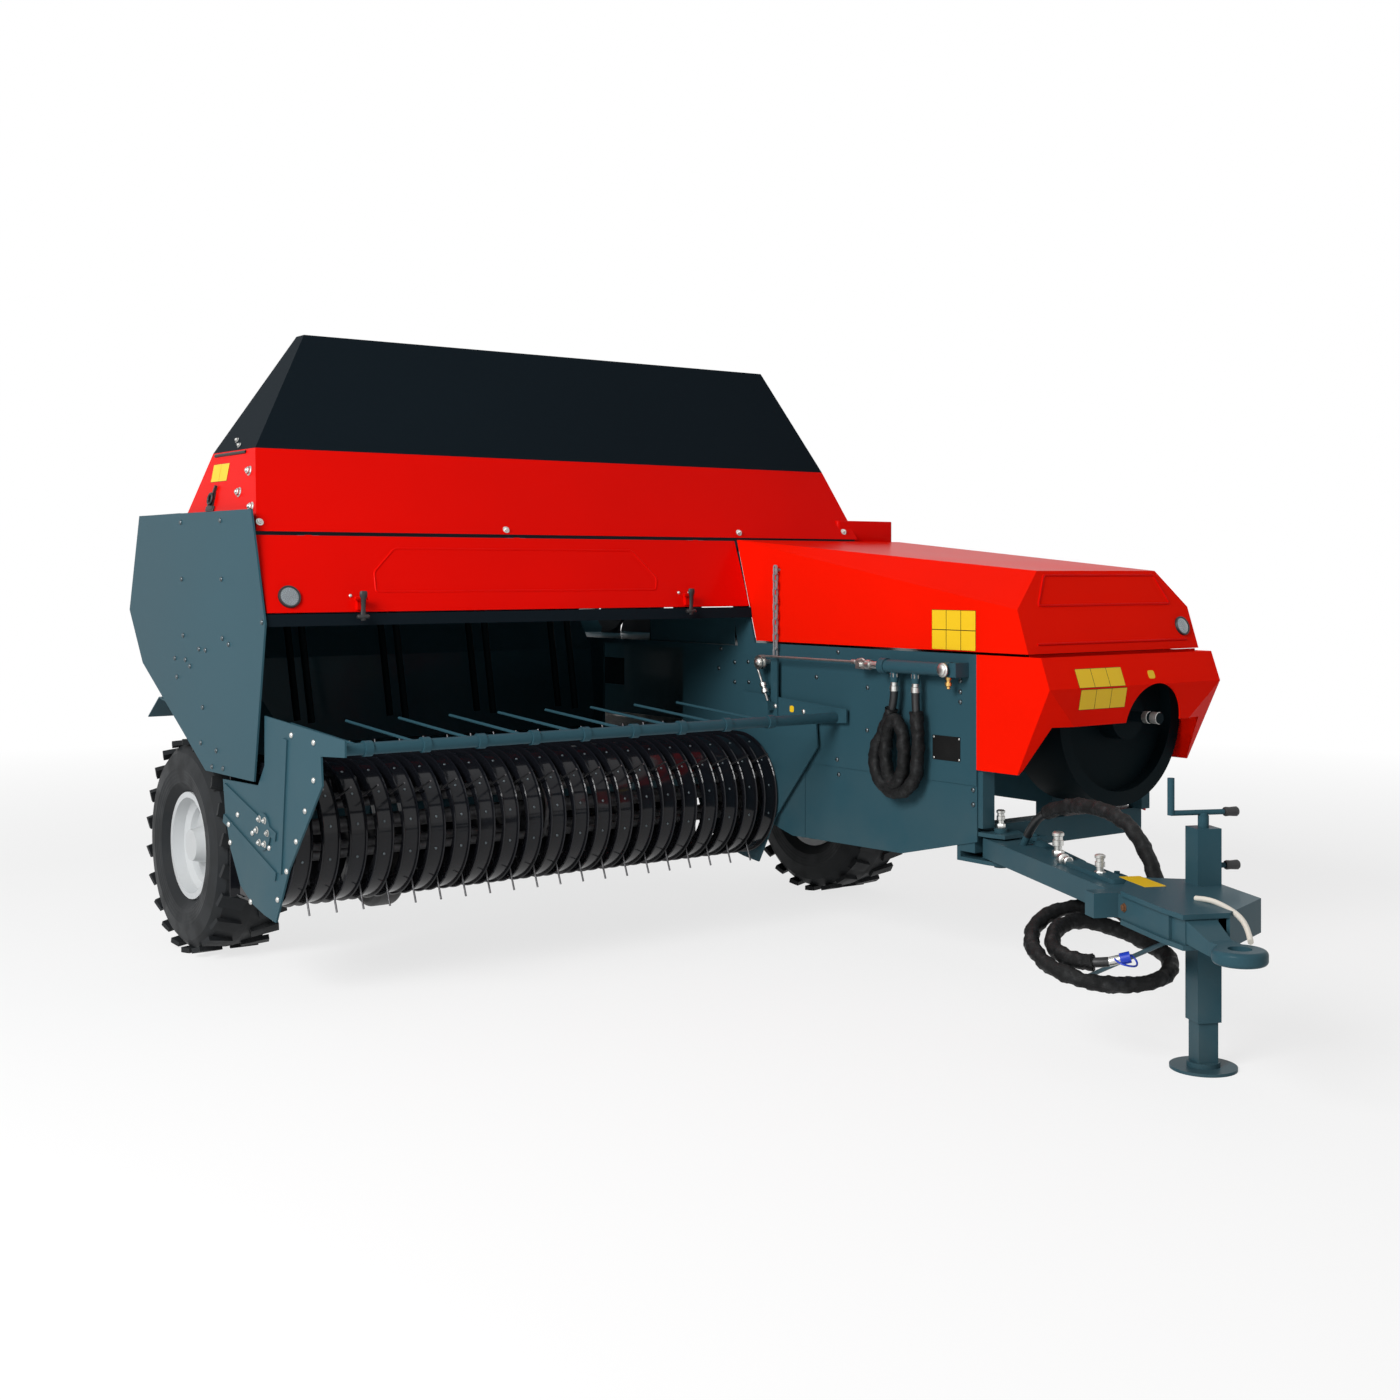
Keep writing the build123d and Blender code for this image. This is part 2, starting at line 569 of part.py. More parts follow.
def nose_guard():
    """Fixed guard in front of the flywheel, open at the top, back and bottom."""
    x0, x1 = WALL_R, NOSE_LEFT
    guard = visor_body(0, 0) - visor_body(5, 0.01)
    guard -= block(x0 + 5, x1 - 5, -1228, 0, 1000, 1100)
    guard -= block(x0 + 5, x1 - 5, CHAMBER_FRONT_Y - 30, 0, 600, 1100)
    guard -= flat_plate([(x0 + 5, -1000), (x0 + 5, -1180), (x0 + 128, -1400), (x1 - 128, -1400),
                         (x1 - 5, -1180), (x1 - 5, -1000)], 600, 811)
    return guard - rod((DRIVE_X, -1400, DRIVE_Z - 20), (DRIVE_X, -1200, DRIVE_Z - 20), 128)


def gearbox():
    y0, y1 = -1010, -660
    box = block(700, 1100, y0 + 60, y1, BEAM_TOP, 1000)
    box += rod((DRIVE_X, y0 + 60, DRIVE_Z), (DRIVE_X, y0 - 10, DRIVE_Z), 60)
    box += rod((DRIVE_X, y0, DRIVE_Z), (DRIVE_X, HUB_Y + SEAT, DRIVE_Z), 25)
    return box


def side_plate_left():
    return side_plate([(CHAMBER_FRONT_Y, WALL_TOP_Z), (CHAMBER_FRONT_Y, 480), (-640, 560), (170, 600), (170, WALL_TOP_Z)],
                      NOSE_LEFT - 5, NOSE_LEFT)


def twine_box():
    x0, x1 = WALL_L + SEAT, NOSE_LEFT - 5 - SEAT
    box = block(x0, x1, -640, 165, 640, 990)
    return box - block(x0 + 5, x1 - 5, -635, 160, 645, 1000)


def flywheel():
    y0, y1 = FLYWHEEL_Y
    wheel = rod((DRIVE_X, y0, DRIVE_Z), (DRIVE_X, y1, DRIVE_Z), FLYWHEEL_R)
    wheel -= rod((DRIVE_X, y0 - 1, DRIVE_Z), (DRIVE_X, y0 + 40, DRIVE_Z), FLYWHEEL_R - 45)
    wheel -= rod((DRIVE_X, y1 - 120, DRIVE_Z), (DRIVE_X, y1 + 1, DRIVE_Z), FLYWHEEL_R - 45)
    wheel += rod((DRIVE_X, y0 - 25, DRIVE_Z), (DRIVE_X, HUB_Y, DRIVE_Z), 75)
    wheel += rod((DRIVE_X, y0 - 150, DRIVE_Z), (DRIVE_X, y0 - 25, DRIVE_Z), 17.5)
    return wheel


# ---------------------------------------------------------------- pickup
PLATE_OUT = END_X + SHEET + GAP            # outer face of the right end plate
PLATE_RIGHT = (PLATE_OUT, PLATE_OUT + SHEET)
PLATE_LEFT = (WALL_R - GAP - 6 - SHEET, WALL_R - GAP - 6)


def plate_outline():
    lower = [(111, 259), (205, 278), (297, 319), (377, 419), (420, 520), (440, 628), (160, 636), (111, 700)]
    return [(111, 846), (-440, 816), (-440, 770), (-285, 760), (-293, 679), (-66, 415), (27, 250)] + lower


def pickup_plate(span, outward):
    x0, x1 = span
    plate = side_plate(plate_outline(), x0, x1)
    out = x0 if outward < 0 else x1
    boss0, boss1 = (out - 5, out) if outward < 0 else (out, out + 5)
    plate += disc_x(REEL_Y, REEL_Z, 55, boss0, boss1)
    return plate


def pickup_ribs():
    """Stiffeners on the outer face of the right end plate."""
    x1 = PLATE_RIGHT[0]
    x0 = x1 - 5
    bars = None
    for (ya, za), (yb, zb), half in (((-48, 790), (-8, 400), 14), ((420, 606), (19, 500), 13), ((425, 510), (19, 385), 13)):
        dy, dz = yb - ya, zb - za
        n = hypot(dy, dz)
        oy, oz = -dz / n * half, dy / n * half
        bar = side_plate([(ya + oy, za + oz), (yb + oy, zb + oz), (yb - oy, zb - oz), (ya - oy, za - oz)], x0, x1)
        bars = bar if bars is None else bars + bar
    return bars


def lift_arm():
    """Upright bar and cable lug at the top of the left end plate."""
    x0 = PLATE_LEFT[0]
    y, z = LIFT_LUG
    arm = block(x0 - 6, x0, -85, -50, 770, 963)
    arm += block(LIFT_X - 10, x0, y - 12, y + 12, z - 32, z - CABLE_R - SEAT)
    return arm


BAND_FIRST_X = TINE_FIRST_X - TINE_PITCH / 2


def pickup_bands():
    """Stripper bands: channels with rolled edges, bent round the reel and open at the rear."""
    outer, inner = BAND_R, BAND_R - 3
    half, lip = BAND_WIDTH / 2, BAND_R + 8
    section = [(-half, inner), (half, inner), (half, lip - 3), (half - 2.5, lip), (half - 5, lip - 3),
               (half - 5, outer), (5 - half, outer), (5 - half, lip - 3), (2.5 - half, lip), (-half, lip - 3)]
    x_a, x_b = PLATE_RIGHT[1], PLATE_LEFT[0]
    joined = block(x_a, x_b, BAND_BACK - 4, BAND_BACK, 556, BAND_Z + outer)
    joined += block(x_a, x_b, BAND_FOOT - 44, BAND_FOOT, BAND_Z - outer, BAND_Z - inner)
    for i in range(TINE_COUNT + 1):
        at = (BAND_FIRST_X + i * TINE_PITCH, BAND_Y, BAND_Z)
        crown = Plane(origin=at, x_dir=(1, 0, 0), z_dir=(0, -1, 0)) * make_face(Polyline(*section, close=True))
        sole = Plane(origin=at, x_dir=(1, 0, 0), z_dir=(0, 1, 0)) * make_face(Polyline(*section, close=True))
        band = revolve(crown, Axis(at, (1, 0, 0)), 180)
        band += extrude(crown, BAND_BACK - BAND_Y, dir=(0, 1, 0))
        joined += band + extrude(sole, BAND_FOOT - BAND_Y, dir=(0, 1, 0))
    return joined


def pickup_frame():
    """Back beam of the pickup, its two lift arms and the gauge wheel's fork."""
    x_a, x_b = PLATE_RIGHT[1], PLATE_LEFT[0]
    front = BAND_BACK
    frame = block(x_a, x_b, front, front + 40, 520, 580)
    for x in PIVOT_ARMS:
        frame += side_plate([(front + 20, 585), (front + 20, 515), (PIVOT_Y - 30, PIVOT_Z - 40), (PIVOT_Y + 42, PIVOT_Z - 20),
                             (PIVOT_Y + 42, PIVOT_Z + 30), (PIVOT_Y, PIVOT_Z + 42)], x - 8, x + 8)
        frame -= disc_x(PIVOT_Y, PIVOT_Z, PIVOT_R + SEAT, x - 10, x + 10)
    for x in (GAUGE_X - 62, GAUGE_X + 54):
        frame += side_plate([(front + 3, 520), (front + 40, 520), (GAUGE_Y + 20, GAUGE_Z - 20), (GAUGE_Y - 20, GAUGE_Z - 20)],
                            x, x + 8)
    frame += disc_x(GAUGE_Y, GAUGE_Z, 10, GAUGE_X - 62, GAUGE_X + 62)
    return frame


GAUGE_X = -810
GAUGE_Y = 480
GAUGE_Z = 300
GAUGE_R = 130


def gauge_wheel():
    wheel = disc_x(GAUGE_Y, GAUGE_Z, GAUGE_R, GAUGE_X - 48, GAUGE_X + 48)
    wheel = fillet(wheel.edges().filter_by(GeomType.CIRCLE), 20)
    return wheel - disc_x(GAUGE_Y, GAUGE_Z, 10.5, GAUGE_X - 60, GAUGE_X + 60)


def reel():
    """Tine reel: a shaft, end spiders, tine bars and sprung tines, joined as one."""
    x_a, x_b = PLATE_RIGHT[1] + 12, PLATE_LEFT[0] - 12
    bar_r = 105
    parts = disc_x(REEL_Y, REEL_Z, 24, PLATE_RIGHT[1] + SEAT, PLATE_LEFT[0] - SEAT)
    for x in (x_a, (x_a + x_b) / 2 - 6, x_b - 12):
        parts += disc_x(REEL_Y, REEL_Z, bar_r + 22, x, x + 12)
    for k in range(TINE_BARS):
        a = radians(45 + 360 / TINE_BARS * k)
        by, bz = REEL_Y + bar_r * cos(a), REEL_Z + bar_r * sin(a)
        parts += disc_x(by, bz, 14, x_a, x_b)
    return parts


def reel_tines():
    tines = []
    bar_r = 105
    for k in range(TINE_BARS):
        a = radians(45 + 360 / TINE_BARS * k)
        rake = radians(14)
        by, bz = REEL_Y + bar_r * cos(a), REEL_Z + bar_r * sin(a)
        ty, tz = REEL_Y + TIP_R * cos(a + rake), REEL_Z + TIP_R * sin(a + rake)
        for i in range(TINE_COUNT):
            x = TINE_FIRST_X + i * TINE_PITCH
            tines.append(rod((x, by, bz), (x, ty, tz), TINE_WIRE_R))
    return tines


def windguard():
    """Tube with rods that hold the crop down over the reel."""
    x_a, x_b = PLATE_RIGHT[1] + SEAT, PLATE_LEFT[0] - SEAT
    guard = disc_x(GUARD_Y, GUARD_Z, GUARD_R, x_a, x_b)
    for k in range(9):
        x = -1259 + 177 * k
        guard += rod((x, GUARD_Y, GUARD_Z), (x, 130, 816), 4.5)
        guard += disc_x(GUARD_Y, GUARD_Z, GUARD_R + 5, x - 12, x + 12)
    return guard


# ---------------------------------------------------------------- pickup lift
LIFT_X = WALL_R - 45
LIFT_Z = 970
PULLEY = (-16, 954)
PULLEY_R = 18
CABLE_R = 4
CLEVIS_Y = -530
LIFT_LUG = (-58, 822)
LIFT_PORTS = (-700, -797)
HOSE_R = 13


def lift_barrel():
    barrel = rod((LIFT_X, -955, LIFT_Z), (LIFT_X, -640, LIFT_Z), 21)
    barrel += rod((LIFT_X, -955, LIFT_Z), (LIFT_X, -930, LIFT_Z), 24)
    barrel += rod((LIFT_X, -668, LIFT_Z), (LIFT_X, -640, LIFT_Z), 25)
    for y in LIFT_PORTS:
        barrel += rod((LIFT_X, y, LIFT_Z - 15), (LIFT_X, y, LIFT_Z - 50), 13)
        barrel += rod((LIFT_X, y, LIFT_Z - 50), (LIFT_X, y, LIFT_Z - 65), 10)
    barrel -= rod((LIFT_X, -930, LIFT_Z), (LIFT_X, -639, LIFT_Z), 13)
    barrel += block(LIFT_X - 12, WALL_R, -985, -950, LIFT_Z - 22, LIFT_Z + 22)
    return barrel


def lift_rod():
    arm = rod((LIFT_X, -900, LIFT_Z), (LIFT_X, -560, LIFT_Z), 12)
    arm += rod((LIFT_X, CLEVIS_Y - 62, LIFT_Z), (LIFT_X, CLEVIS_Y - 44, LIFT_Z), 16)
    arm += block(LIFT_X - 14, LIFT_X + 14, CLEVIS_Y - 45, CLEVIS_Y, LIFT_Z - 14, LIFT_Z + 14)
    return arm + disc_x(CLEVIS_Y - 20, LIFT_Z, 8, LIFT_X - 22, LIFT_X + 22)


def lift_pulley():
    """Grooved pulley on a stub that stands out of the wall, where the lift cable turns down."""
    y, z = PULLEY
    wheel = disc_x(y, z, PULLEY_R + 6, LIFT_X - 9, LIFT_X + 9) - disc_x(y, z, PULLEY_R + 7, LIFT_X - 5, LIFT_X + 5)
    wheel += disc_x(y, z, PULLEY_R, LIFT_X - 9, LIFT_X + 9)
    return wheel + disc_x(y, z, 9, LIFT_X + 9, WALL_R)


def lift_cable_run():
    """Level run of the lift cable, from the rod's clevis over the pulley."""
    y, z = PULLEY
    level = z + PULLEY_R + CABLE_R + SEAT
    return rod((LIFT_X, CLEVIS_Y + SEAT, level), (LIFT_X, y, level), CABLE_R)


def lift_cable_drop():
    """The cable from the pulley down to the pickup's arm."""
    y, z = PULLEY
    r = PULLEY_R + CABLE_R + SEAT
    dy, dz = LIFT_LUG[0] - y, LIFT_LUG[1] - z
    leave = atan2(dz, dy) + acos(r / hypot(dy, dz))
    top = (LIFT_X, y + r * cos(1.5), z + r * sin(1.5))
    side = (LIFT_X, y + r * cos((1.5 + leave) / 2), z + r * sin((1.5 + leave) / 2))
    end = (LIFT_X, y + r * cos(leave), z + r * sin(leave))
    path = Wire([ThreePointArc(top, side, end), Line(end, (LIFT_X, *LIFT_LUG))])
    section = Plane(origin=top, z_dir=path.tangent_at(0)) * Circle(CABLE_R)
    return sweep(section, path)


def lift_chain():
    """Short chain that hangs from the nose hood's slot and holds the raised pickup."""
    chain = None
    x, y = WALL_R - 18, -67
    pitch, n = 26, 12
    for i in range(n):
        z = 1276 - pitch * i
        profile = SlotOverall(36, 20) - SlotOverall(25, 8)
        link = extrude(profile, 2.6, both=True)
        link = Rot(0, 90, 0) * link
        if i % 2:
            link = Rot(0, 0, 90) * link
        link = Pos(x, y, z) * link
        chain = link if chain is None else chain + link
    return chain + disc_x(y, 1276, 5, x, WALL_R - SEAT)


# ---------------------------------------------------------------- wheels
def tyre(side):
    x, y = WHEELS[side]
    half = TYRE_WIDTH / 2
    tread_r = TYRE_R - LUG_HEIGHT
    plane = Plane(origin=(x, y, TYRE_R), x_dir=(1, 0, 0), z_dir=(0, -1, 0))
    bead = RIM_WIDTH / 2 - SEAT
    profile = [(-bead, RIM_R), (-bead, RIM_R + 14), (-half + 6, RIM_R + 46), (-half, RIM_R + 95), (-half + 8, tread_r - 32),
               (-half + 30, tread_r - 6), (0, tread_r + 4), (half - 30, tread_r - 6), (half - 8, tread_r - 32),
               (half, RIM_R + 95), (half - 6, RIM_R + 46),
               (bead, RIM_R + 14), (bead, RIM_R)]
    carcass = revolve(plane * make_face(Polyline(*profile, close=True)), Axis((x, y, TYRE_R), (1, 0, 0)))
    for i in range(LUG_COUNT):
        for s in (-1, 1):
            turn = 360 / LUG_COUNT * (i + (0.5 if s > 0 else 0))
            lug = Pos(s * (half - 52), 0, TYRE_R - LUG_HEIGHT / 2) * Rot(0, 0, s * 18) * Box(92, 42, LUG_HEIGHT + 8)
            carcass += Pos(x, y, TYRE_R) * Rot(turn, 0, 0) * lug
    return carcass & disc_x(y, TYRE_R, TYRE_R, x - half - 10, x + half + 10)


def rim(side, out):
    """Dished steel rim with its hub; out is the way its face looks."""
    x, y = WHEELS[side]
    plane = Plane(origin=(x, y, TYRE_R), x_dir=(out, 0, 0), z_dir=(0, -out, 0))
    profile = [(98, RIM_R + 13), (98, RIM_R - 6), (60, RIM_R - 12), (48, RIM_R - 34), (30, RIM_R - 40),
               (44, 80), (44, 62), (92, 52), (92, SPINDLE_R - 26), (70, SPINDLE_R - 26), (70, SPINDLE_R + SEAT),
               (-60, SPINDLE_R + SEAT), (-60, 45), (28, 50), (28, 78), (16, RIM_R - 46), (-20, RIM_R - 24),
               (-60, RIM_R - 14), (-98, RIM_R - 12), (-98, RIM_R + 13), (-90, RIM_R + 13), (-90, RIM_R - 0.4),
               (90, RIM_R - 0.4), (90, RIM_R + 13)]
    return revolve(plane * make_face(Polyline(*profile, close=True)), Axis((x, y, TYRE_R), (1, 0, 0)))


# ---------------------------------------------------------------- drawbar
JACK = (194, POLE_END + 289)       # jack axis from the drawbar's pivot, drawbar straight ahead
JACK_SIZE = 66
JACK_WALL = 5
EYE_R = 27
COIL_TOP = (34, -576)              # where the coiled hose meets the hanger under the drawbar


def pole():
    half = POLE_WIDTH / 2
    beam = block(-half, half, POLE_END, 20, POLE_LOW, POLE_TOP)
    beam += Pos(0, 0, (POLE_LOW + POLE_TOP) / 2) * Cylinder(half, POLE_TOP - POLE_LOW)
    beam -= Pos(0, 0, POLE_LOW) * Cylinder(PIVOT_PIN_R + SEAT, 200)
    # head: two plates that reach out round the jack, closed by an end plate and a side plate
    jx, jy = JACK
    s = JACK_SIZE / 2
    out = jx + s + 9
    nose = POLE_END - 70
    corners = [(-half - 8, POLE_END + 240), (-half - 8, POLE_END + 20), (-half, nose), (half + 20, nose),
               (out, jy - 209), (out, jy + 51), (half, jy + 131)]
    well = block(jx - s - SEAT, jx + s + SEAT, jy - s - SEAT, jy + s + SEAT, POLE_LOW - 20, POLE_TOP + 20)
    for z in (POLE_TOP, POLE_LOW - 12):
        beam += flat_plate(corners, z, z + 12) - well
    beam += flat_plate([corners[3], corners[4], (out - 6, jy - 203), (half + 14, nose + 6)], POLE_LOW, POLE_TOP)
    beam += block(out - 8, out, jy - 209, jy + 51, POLE_LOW, POLE_TOP)
    beam += block(half, jx - s - SEAT, jy - 45, jy + 45, POLE_LOW, POLE_TOP)
    # square socket on the right side, hose hanger and the rest that the coiled hose lies on
    socket = block(-half - 66, -half, POLE_END + 270, POLE_END + 322, POLE_LOW, POLE_TOP + 2)
    beam += socket - block(-half - 60, -half - 6, POLE_END + 276, POLE_END + 330, POLE_LOW + 6, POLE_TOP - 4)
    x, y = COIL_TOP
    beam += block(x - 20, x + 14, y - 15, y + 15, POLE_LOW - HANG, POLE_LOW)
    beam += rod((44, POLE_END + 93, POLE_LOW - 8), (44, POLE_END + 676, 150), 6)
    beam += rod(back(HOSE_ROUTE[0], HOSE_ROUTE[1], 60), HOSE_ROUTE[0], 11)
    # lug for the swing cylinder
    ex, ey = SWING_EYE_LOCAL
    for z in (SWING_Z - 32, SWING_Z + 20):
        beam += flat_plate([(half - 30, ey + 45), (ex + 22, ey + 20), (ex + 22, ey - 20), (half - 30, ey - 45)],
                           z, z + 12)
    beam += Pos(ex, ey, SWING_Z) * Cylinder(8, 84)
    return parked(beam)


def tow_eye():
    """Forged eye on a tapered neck that is held in the head's front."""
    neck = 90 - POLE_LENGTH
    mid = (POLE_LOW + POLE_TOP) / 2
    eye = block(-42, 42, POLE_END - 66, POLE_END - SEAT, POLE_LOW + SEAT, POLE_TOP - SEAT)
    ends = ((POLE_END - 65, mid, 78, 54), (neck, EYE_Z, 58, 34))
    eye += loft([Plane(origin=(0, y, z), x_dir=(1, 0, 0), z_dir=(0, -1, 0)) * Rectangle(w, h)
                 for y, z, w, h in ends], ruled=True)
    eye += block(-29, 29, 20 - POLE_LENGTH, neck, EYE_Z - 17, EYE_Z + 17)
    ring = Pos(0, -POLE_LENGTH, EYE_Z) * Cylinder(62, 34)
    eye += fillet(ring.edges().filter_by(GeomType.CIRCLE), 11)
    eye -= Pos(0, -POLE_LENGTH, EYE_Z) * Cylinder(EYE_R, 50)
    return parked(eye)


def jack_sleeve():
    x, y = JACK
    s = JACK_SIZE / 2
    tube = block(x - s, x + s, y - s, y + s, 123, 617)
    tube -= block(x - s + JACK_WALL, x + s - JACK_WALL, y - s + JACK_WALL, y + s - JACK_WALL, 100, 607)
    tube += Pos(x, y, 632) * Cylinder(14, 30)
    tube += rod((x, y, 655), (x, y, 640), 12)
    tube += rod((x + 60, y, 655), (x - 90, y, 655), 7)
    tube += rod((x + 60, y, 655), (x + 92, y, 655), 10)
    tube += rod((x - 90, y, 650), (x - 90, y, 745), 9)
    # lock pin with its grip
    tube += rod((x + s - 2, y, 518), (x + s + 32, y, 518), 7) + rod((x + s + 30, y, 518), (x + s + 58, y, 518), 11)
    return parked(tube)


# ---------------------------------------------------------------- hoses
HANG = 20                          # hanger's depth under the drawbar
COIL_R = 172
COIL_THICK = 24
COIL_TILT = 22                     # degrees; the coil's front lies lower
COIL_TURN = -12                    # degrees about the vertical, from the drawbar
LOOP_R = 105                       # lower bend of the lift hose's loop
LOOP_MID = (-705, 670)


def coil_frame():
    """The coiled hose's plane: its x runs across the drawbar and its y rises to the rear."""
    rise = COIL_R * sin(radians(COIL_TILT)) + COIL_THICK
    level = POLE_LOW - HANG - SEAT - rise
    reach = COIL_R * cos(radians(COIL_TILT))
    return Pos(COIL_TOP[0] + reach * sin(radians(COIL_TURN)), COIL_TOP[1] - reach * cos(radians(COIL_TURN)),
               level) * Rot(0, 0, COIL_TURN) * Rot(COIL_TILT, 0, 0)


def on_coil(angle, lift=0.0, radius=COIL_R):
    a = radians(angle)
    place = coil_frame() * Pos(radius * cos(a), radius * sin(a), lift)
    return tuple(place.position)


def back(a, b, distance):
    """The point that lies before a, on the line from a to b."""
    step = (Vector(*b) - Vector(*a)).normalized()
    return tuple(Vector(*a) - step * distance)


HOSE_ROUTE = [(21, -158, 491), (27, -198, 546), (48, -305, 592), (74, -415, 614), (100, -530, 612),
              (122, -625, 585), (140, -695, 515), (147, -719, 440), (155, -724, 378),
              (163, -742, 318), (161, -784, 275), on_coil(-34)]
TAIL_ROUTE = [on_coil(-142), on_coil(-119, 24, COIL_R - 22), on_coil(-101, 40, COIL_R - 34)]
LIFT_ROUTE = [(LIFT_PORTS[0], LIFT_Z - 65), (LIFT_PORTS[0], 850), (-657, 774)]
LIFT_ROUTE += [(LOOP_MID[0] + LOOP_R * cos(radians(a)), LOOP_MID[1] + LOOP_R * sin(radians(a)))
               for a in (10, -30, -70, -110, -150, -190)]
LIFT_ROUTE += [(-808, 770), (LIFT_PORTS[1], 845), (LIFT_PORTS[1], LIFT_Z - 65)]


def tube(route, radius):
    """A hose along straight runs joined by tangent arcs, as wide as the runs allow."""
    points = [Vector(*p) for p in route]
    radii = []
    for a, b, c in zip(points, points[1:], points[2:]):
        turn = radians((b - a).get_angle(c - b))
        radii.append(0.45 * min((b - a).length, (c - b).length) / tan(turn / 2))
    print("bend radii", [round(r) for r in radii], "hose", radius)
    path = FilletPolyline(*points, radius=radii)
    return sweep(Plane(origin=points[0], z_dir=points[1] - points[0]) * Circle(radius), path)


def hose_lift():
    return tube([(LIFT_X, y, z) for y, z in LIFT_ROUTE], HOSE_R)


def hose_coil():
    return parked(coil_frame() * Torus(COIL_R, COIL_THICK))


def hose_plug():
    """Quick coupling at the hose's end; the cap stands on it."""
    start, way = TAIL_ROUTE[-1], TAIL_ROUTE[-2]
    end = back(start, way, 30)
    return parked(rod(start, end, 12)), parked(rod(end, back(start, way, 56), 15))


def jack_leg():
    x, y = JACK
    s = JACK_SIZE / 2 - JACK_WALL - 1
    leg = block(x - s, x + s, y - s, y + s, 8, 500)
    leg += Pos(x, y, 4) * Cylinder(85, 8)
    leg += Pos(x, y, 14) * Cylinder(42, 12)
    return parked(leg)


def swing_parts():
    bx, by = SWING_BASE
    ex, ey, _ = on_pole(*SWING_EYE_LOCAL)
    way = Vector(ex - bx, ey - by, 0)
    length = way.length
    unit = way.normalized()
    base = Vector(bx, by, SWING_Z)

    def at(distance):
        return tuple(base + unit * distance)
    barrel = rod(at(45), at(400), 27) + rod(at(15), at(60), 18) - rod(at(60), at(401), 14)
    barrel += rod((bx, by, SWING_Z - 21), (bx, by, SWING_Z + 21), 26)
    barrel -= rod((bx, by, SWING_Z - 30), (bx, by, SWING_Z + 30), 10.3)
    stem = rod(at(300), at(length - 20), 13)
    stem += rod((ex, ey, SWING_Z - 19), (ex, ey, SWING_Z + 19), 26)
    stem -= rod((ex, ey, SWING_Z - 30), (ex, ey, SWING_Z + 30), 16)
    return barrel, stem


# ---------------------------------------------------------------- write the pieces
def main():
    save(main_frame(), "main_frame")
    save(axle_frame(), "axle_frame")
    save(chamber_wall_right(), "chamber_wall_right")
    save(chamber_wall_left(), "chamber_wall_left")
    save(chamber_floor(), "chamber_floor")
    save(chamber_roof(), "chamber_roof")
    save(chamber_rails(), "chamber_rails")
    save(tension_screws(), "tension_screws")
    save(needle_yoke(), "needle_yoke")
    save(knotter_unit(), "knotter_unit")
    save(star_wheel(), "star_wheel")
    save(bale_chute(), "bale_chute")
    save(side_panel_right(), "side_panel_right")
    save(feeder_shell(), "feeder_shell")
    save(mudguard(), "mudguard")
    save(feeder_forks(), "feeder_forks")
    save(hood_lower(), "hood_lower")
    save(hood_upper(), "hood_upper")
    save(front_cover(), "front_cover")
    save(intake_lip(), "intake_lip")
    save(top_rails(), "top_rails")
    save(drive_cover_left(), "drive_cover_left")
    save(nose_hood(), "nose_hood")
    save(nose_guard(), "nose_guard")
    save(gearbox(), "gearbox")
    save(side_plate_left(), "side_plate_left")
    save(twine_box(), "twine_box")
    save(flywheel(), "flywheel")
    save(pickup_plate(PLATE_RIGHT, -1) + pickup_ribs(), "pickup_plate_right")
    save(pickup_plate(PLATE_LEFT, 1) + lift_arm(), "pickup_plate_left")
    save(pickup_bands(), "pickup_bands")
    save(pickup_frame(), "pickup_frame")
    save(gauge_wheel(), "gauge_wheel")
    spinning = reel()
    for tine in reel_tines():
        spinning += tine
    save(spinning, "reel")
    save(windguard(), "windguard")
    save(lift_barrel(), "lift_barrel")
    save(lift_rod(), "lift_rod")
    save(lift_pulley(), "lift_pulley")
    save(lift_cable_run(), "lift_cable_run")
    save(lift_cable_drop(), "lift_cable_drop")
    save(lift_chain(), "lift_chain")
    for side, out in (("right", -1), ("left", 1)):
        save(tyre(side), f"tyre_{side}")
        save(rim(side, out), f"rim_{side}")
    save(pole(), "pole")
    save(tow_eye(), "tow_eye")
    save(jack_sleeve(), "jack_sleeve")
    save(jack_leg(), "jack_leg")
    save(hose_lift(), "hose_lift")
    save(parked(tube(HOSE_ROUTE, HOSE_R)), "hose_drawbar")
    save(hose_coil(), "hose_coil")
    save(parked(tube(TAIL_ROUTE, HOSE_R)), "hose_tail")
    plug, cap = hose_plug()
    save(plug, "hose_plug")
    save(cap, "hose_cap")
    barrel, stem = swing_parts()
    save(barrel, "swing_barrel")
    save(stem, "swing_rod")


main()
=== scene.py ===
"""Looks for the square baler: paint, rubber and steel for its solids, and the small pieces on them.

Metres, +Z up. The machine travels towards -Y, so +X is its left side.
"""

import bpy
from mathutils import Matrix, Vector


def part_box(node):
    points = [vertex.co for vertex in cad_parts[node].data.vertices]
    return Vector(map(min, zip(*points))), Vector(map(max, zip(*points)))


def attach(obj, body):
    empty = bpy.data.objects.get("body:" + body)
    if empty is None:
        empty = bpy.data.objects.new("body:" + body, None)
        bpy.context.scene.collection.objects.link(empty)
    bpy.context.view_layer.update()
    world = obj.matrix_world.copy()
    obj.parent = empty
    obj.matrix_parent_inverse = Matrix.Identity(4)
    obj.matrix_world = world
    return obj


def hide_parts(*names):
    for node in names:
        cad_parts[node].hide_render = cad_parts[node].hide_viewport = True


bl_info = {
    "name": "Square baler",
    "version": (1, 0, 0),
    "blender": (4, 5, 0),
    "location": "View3D > Sidebar > Baler",
    "description": "Finishes and dresses the square baler",
    "category": "Object",
}

from math import cos, pi, radians, sin

import bpy
from bpy.props import FloatProperty, FloatVectorProperty, PointerProperty
from mathutils import Matrix, Vector

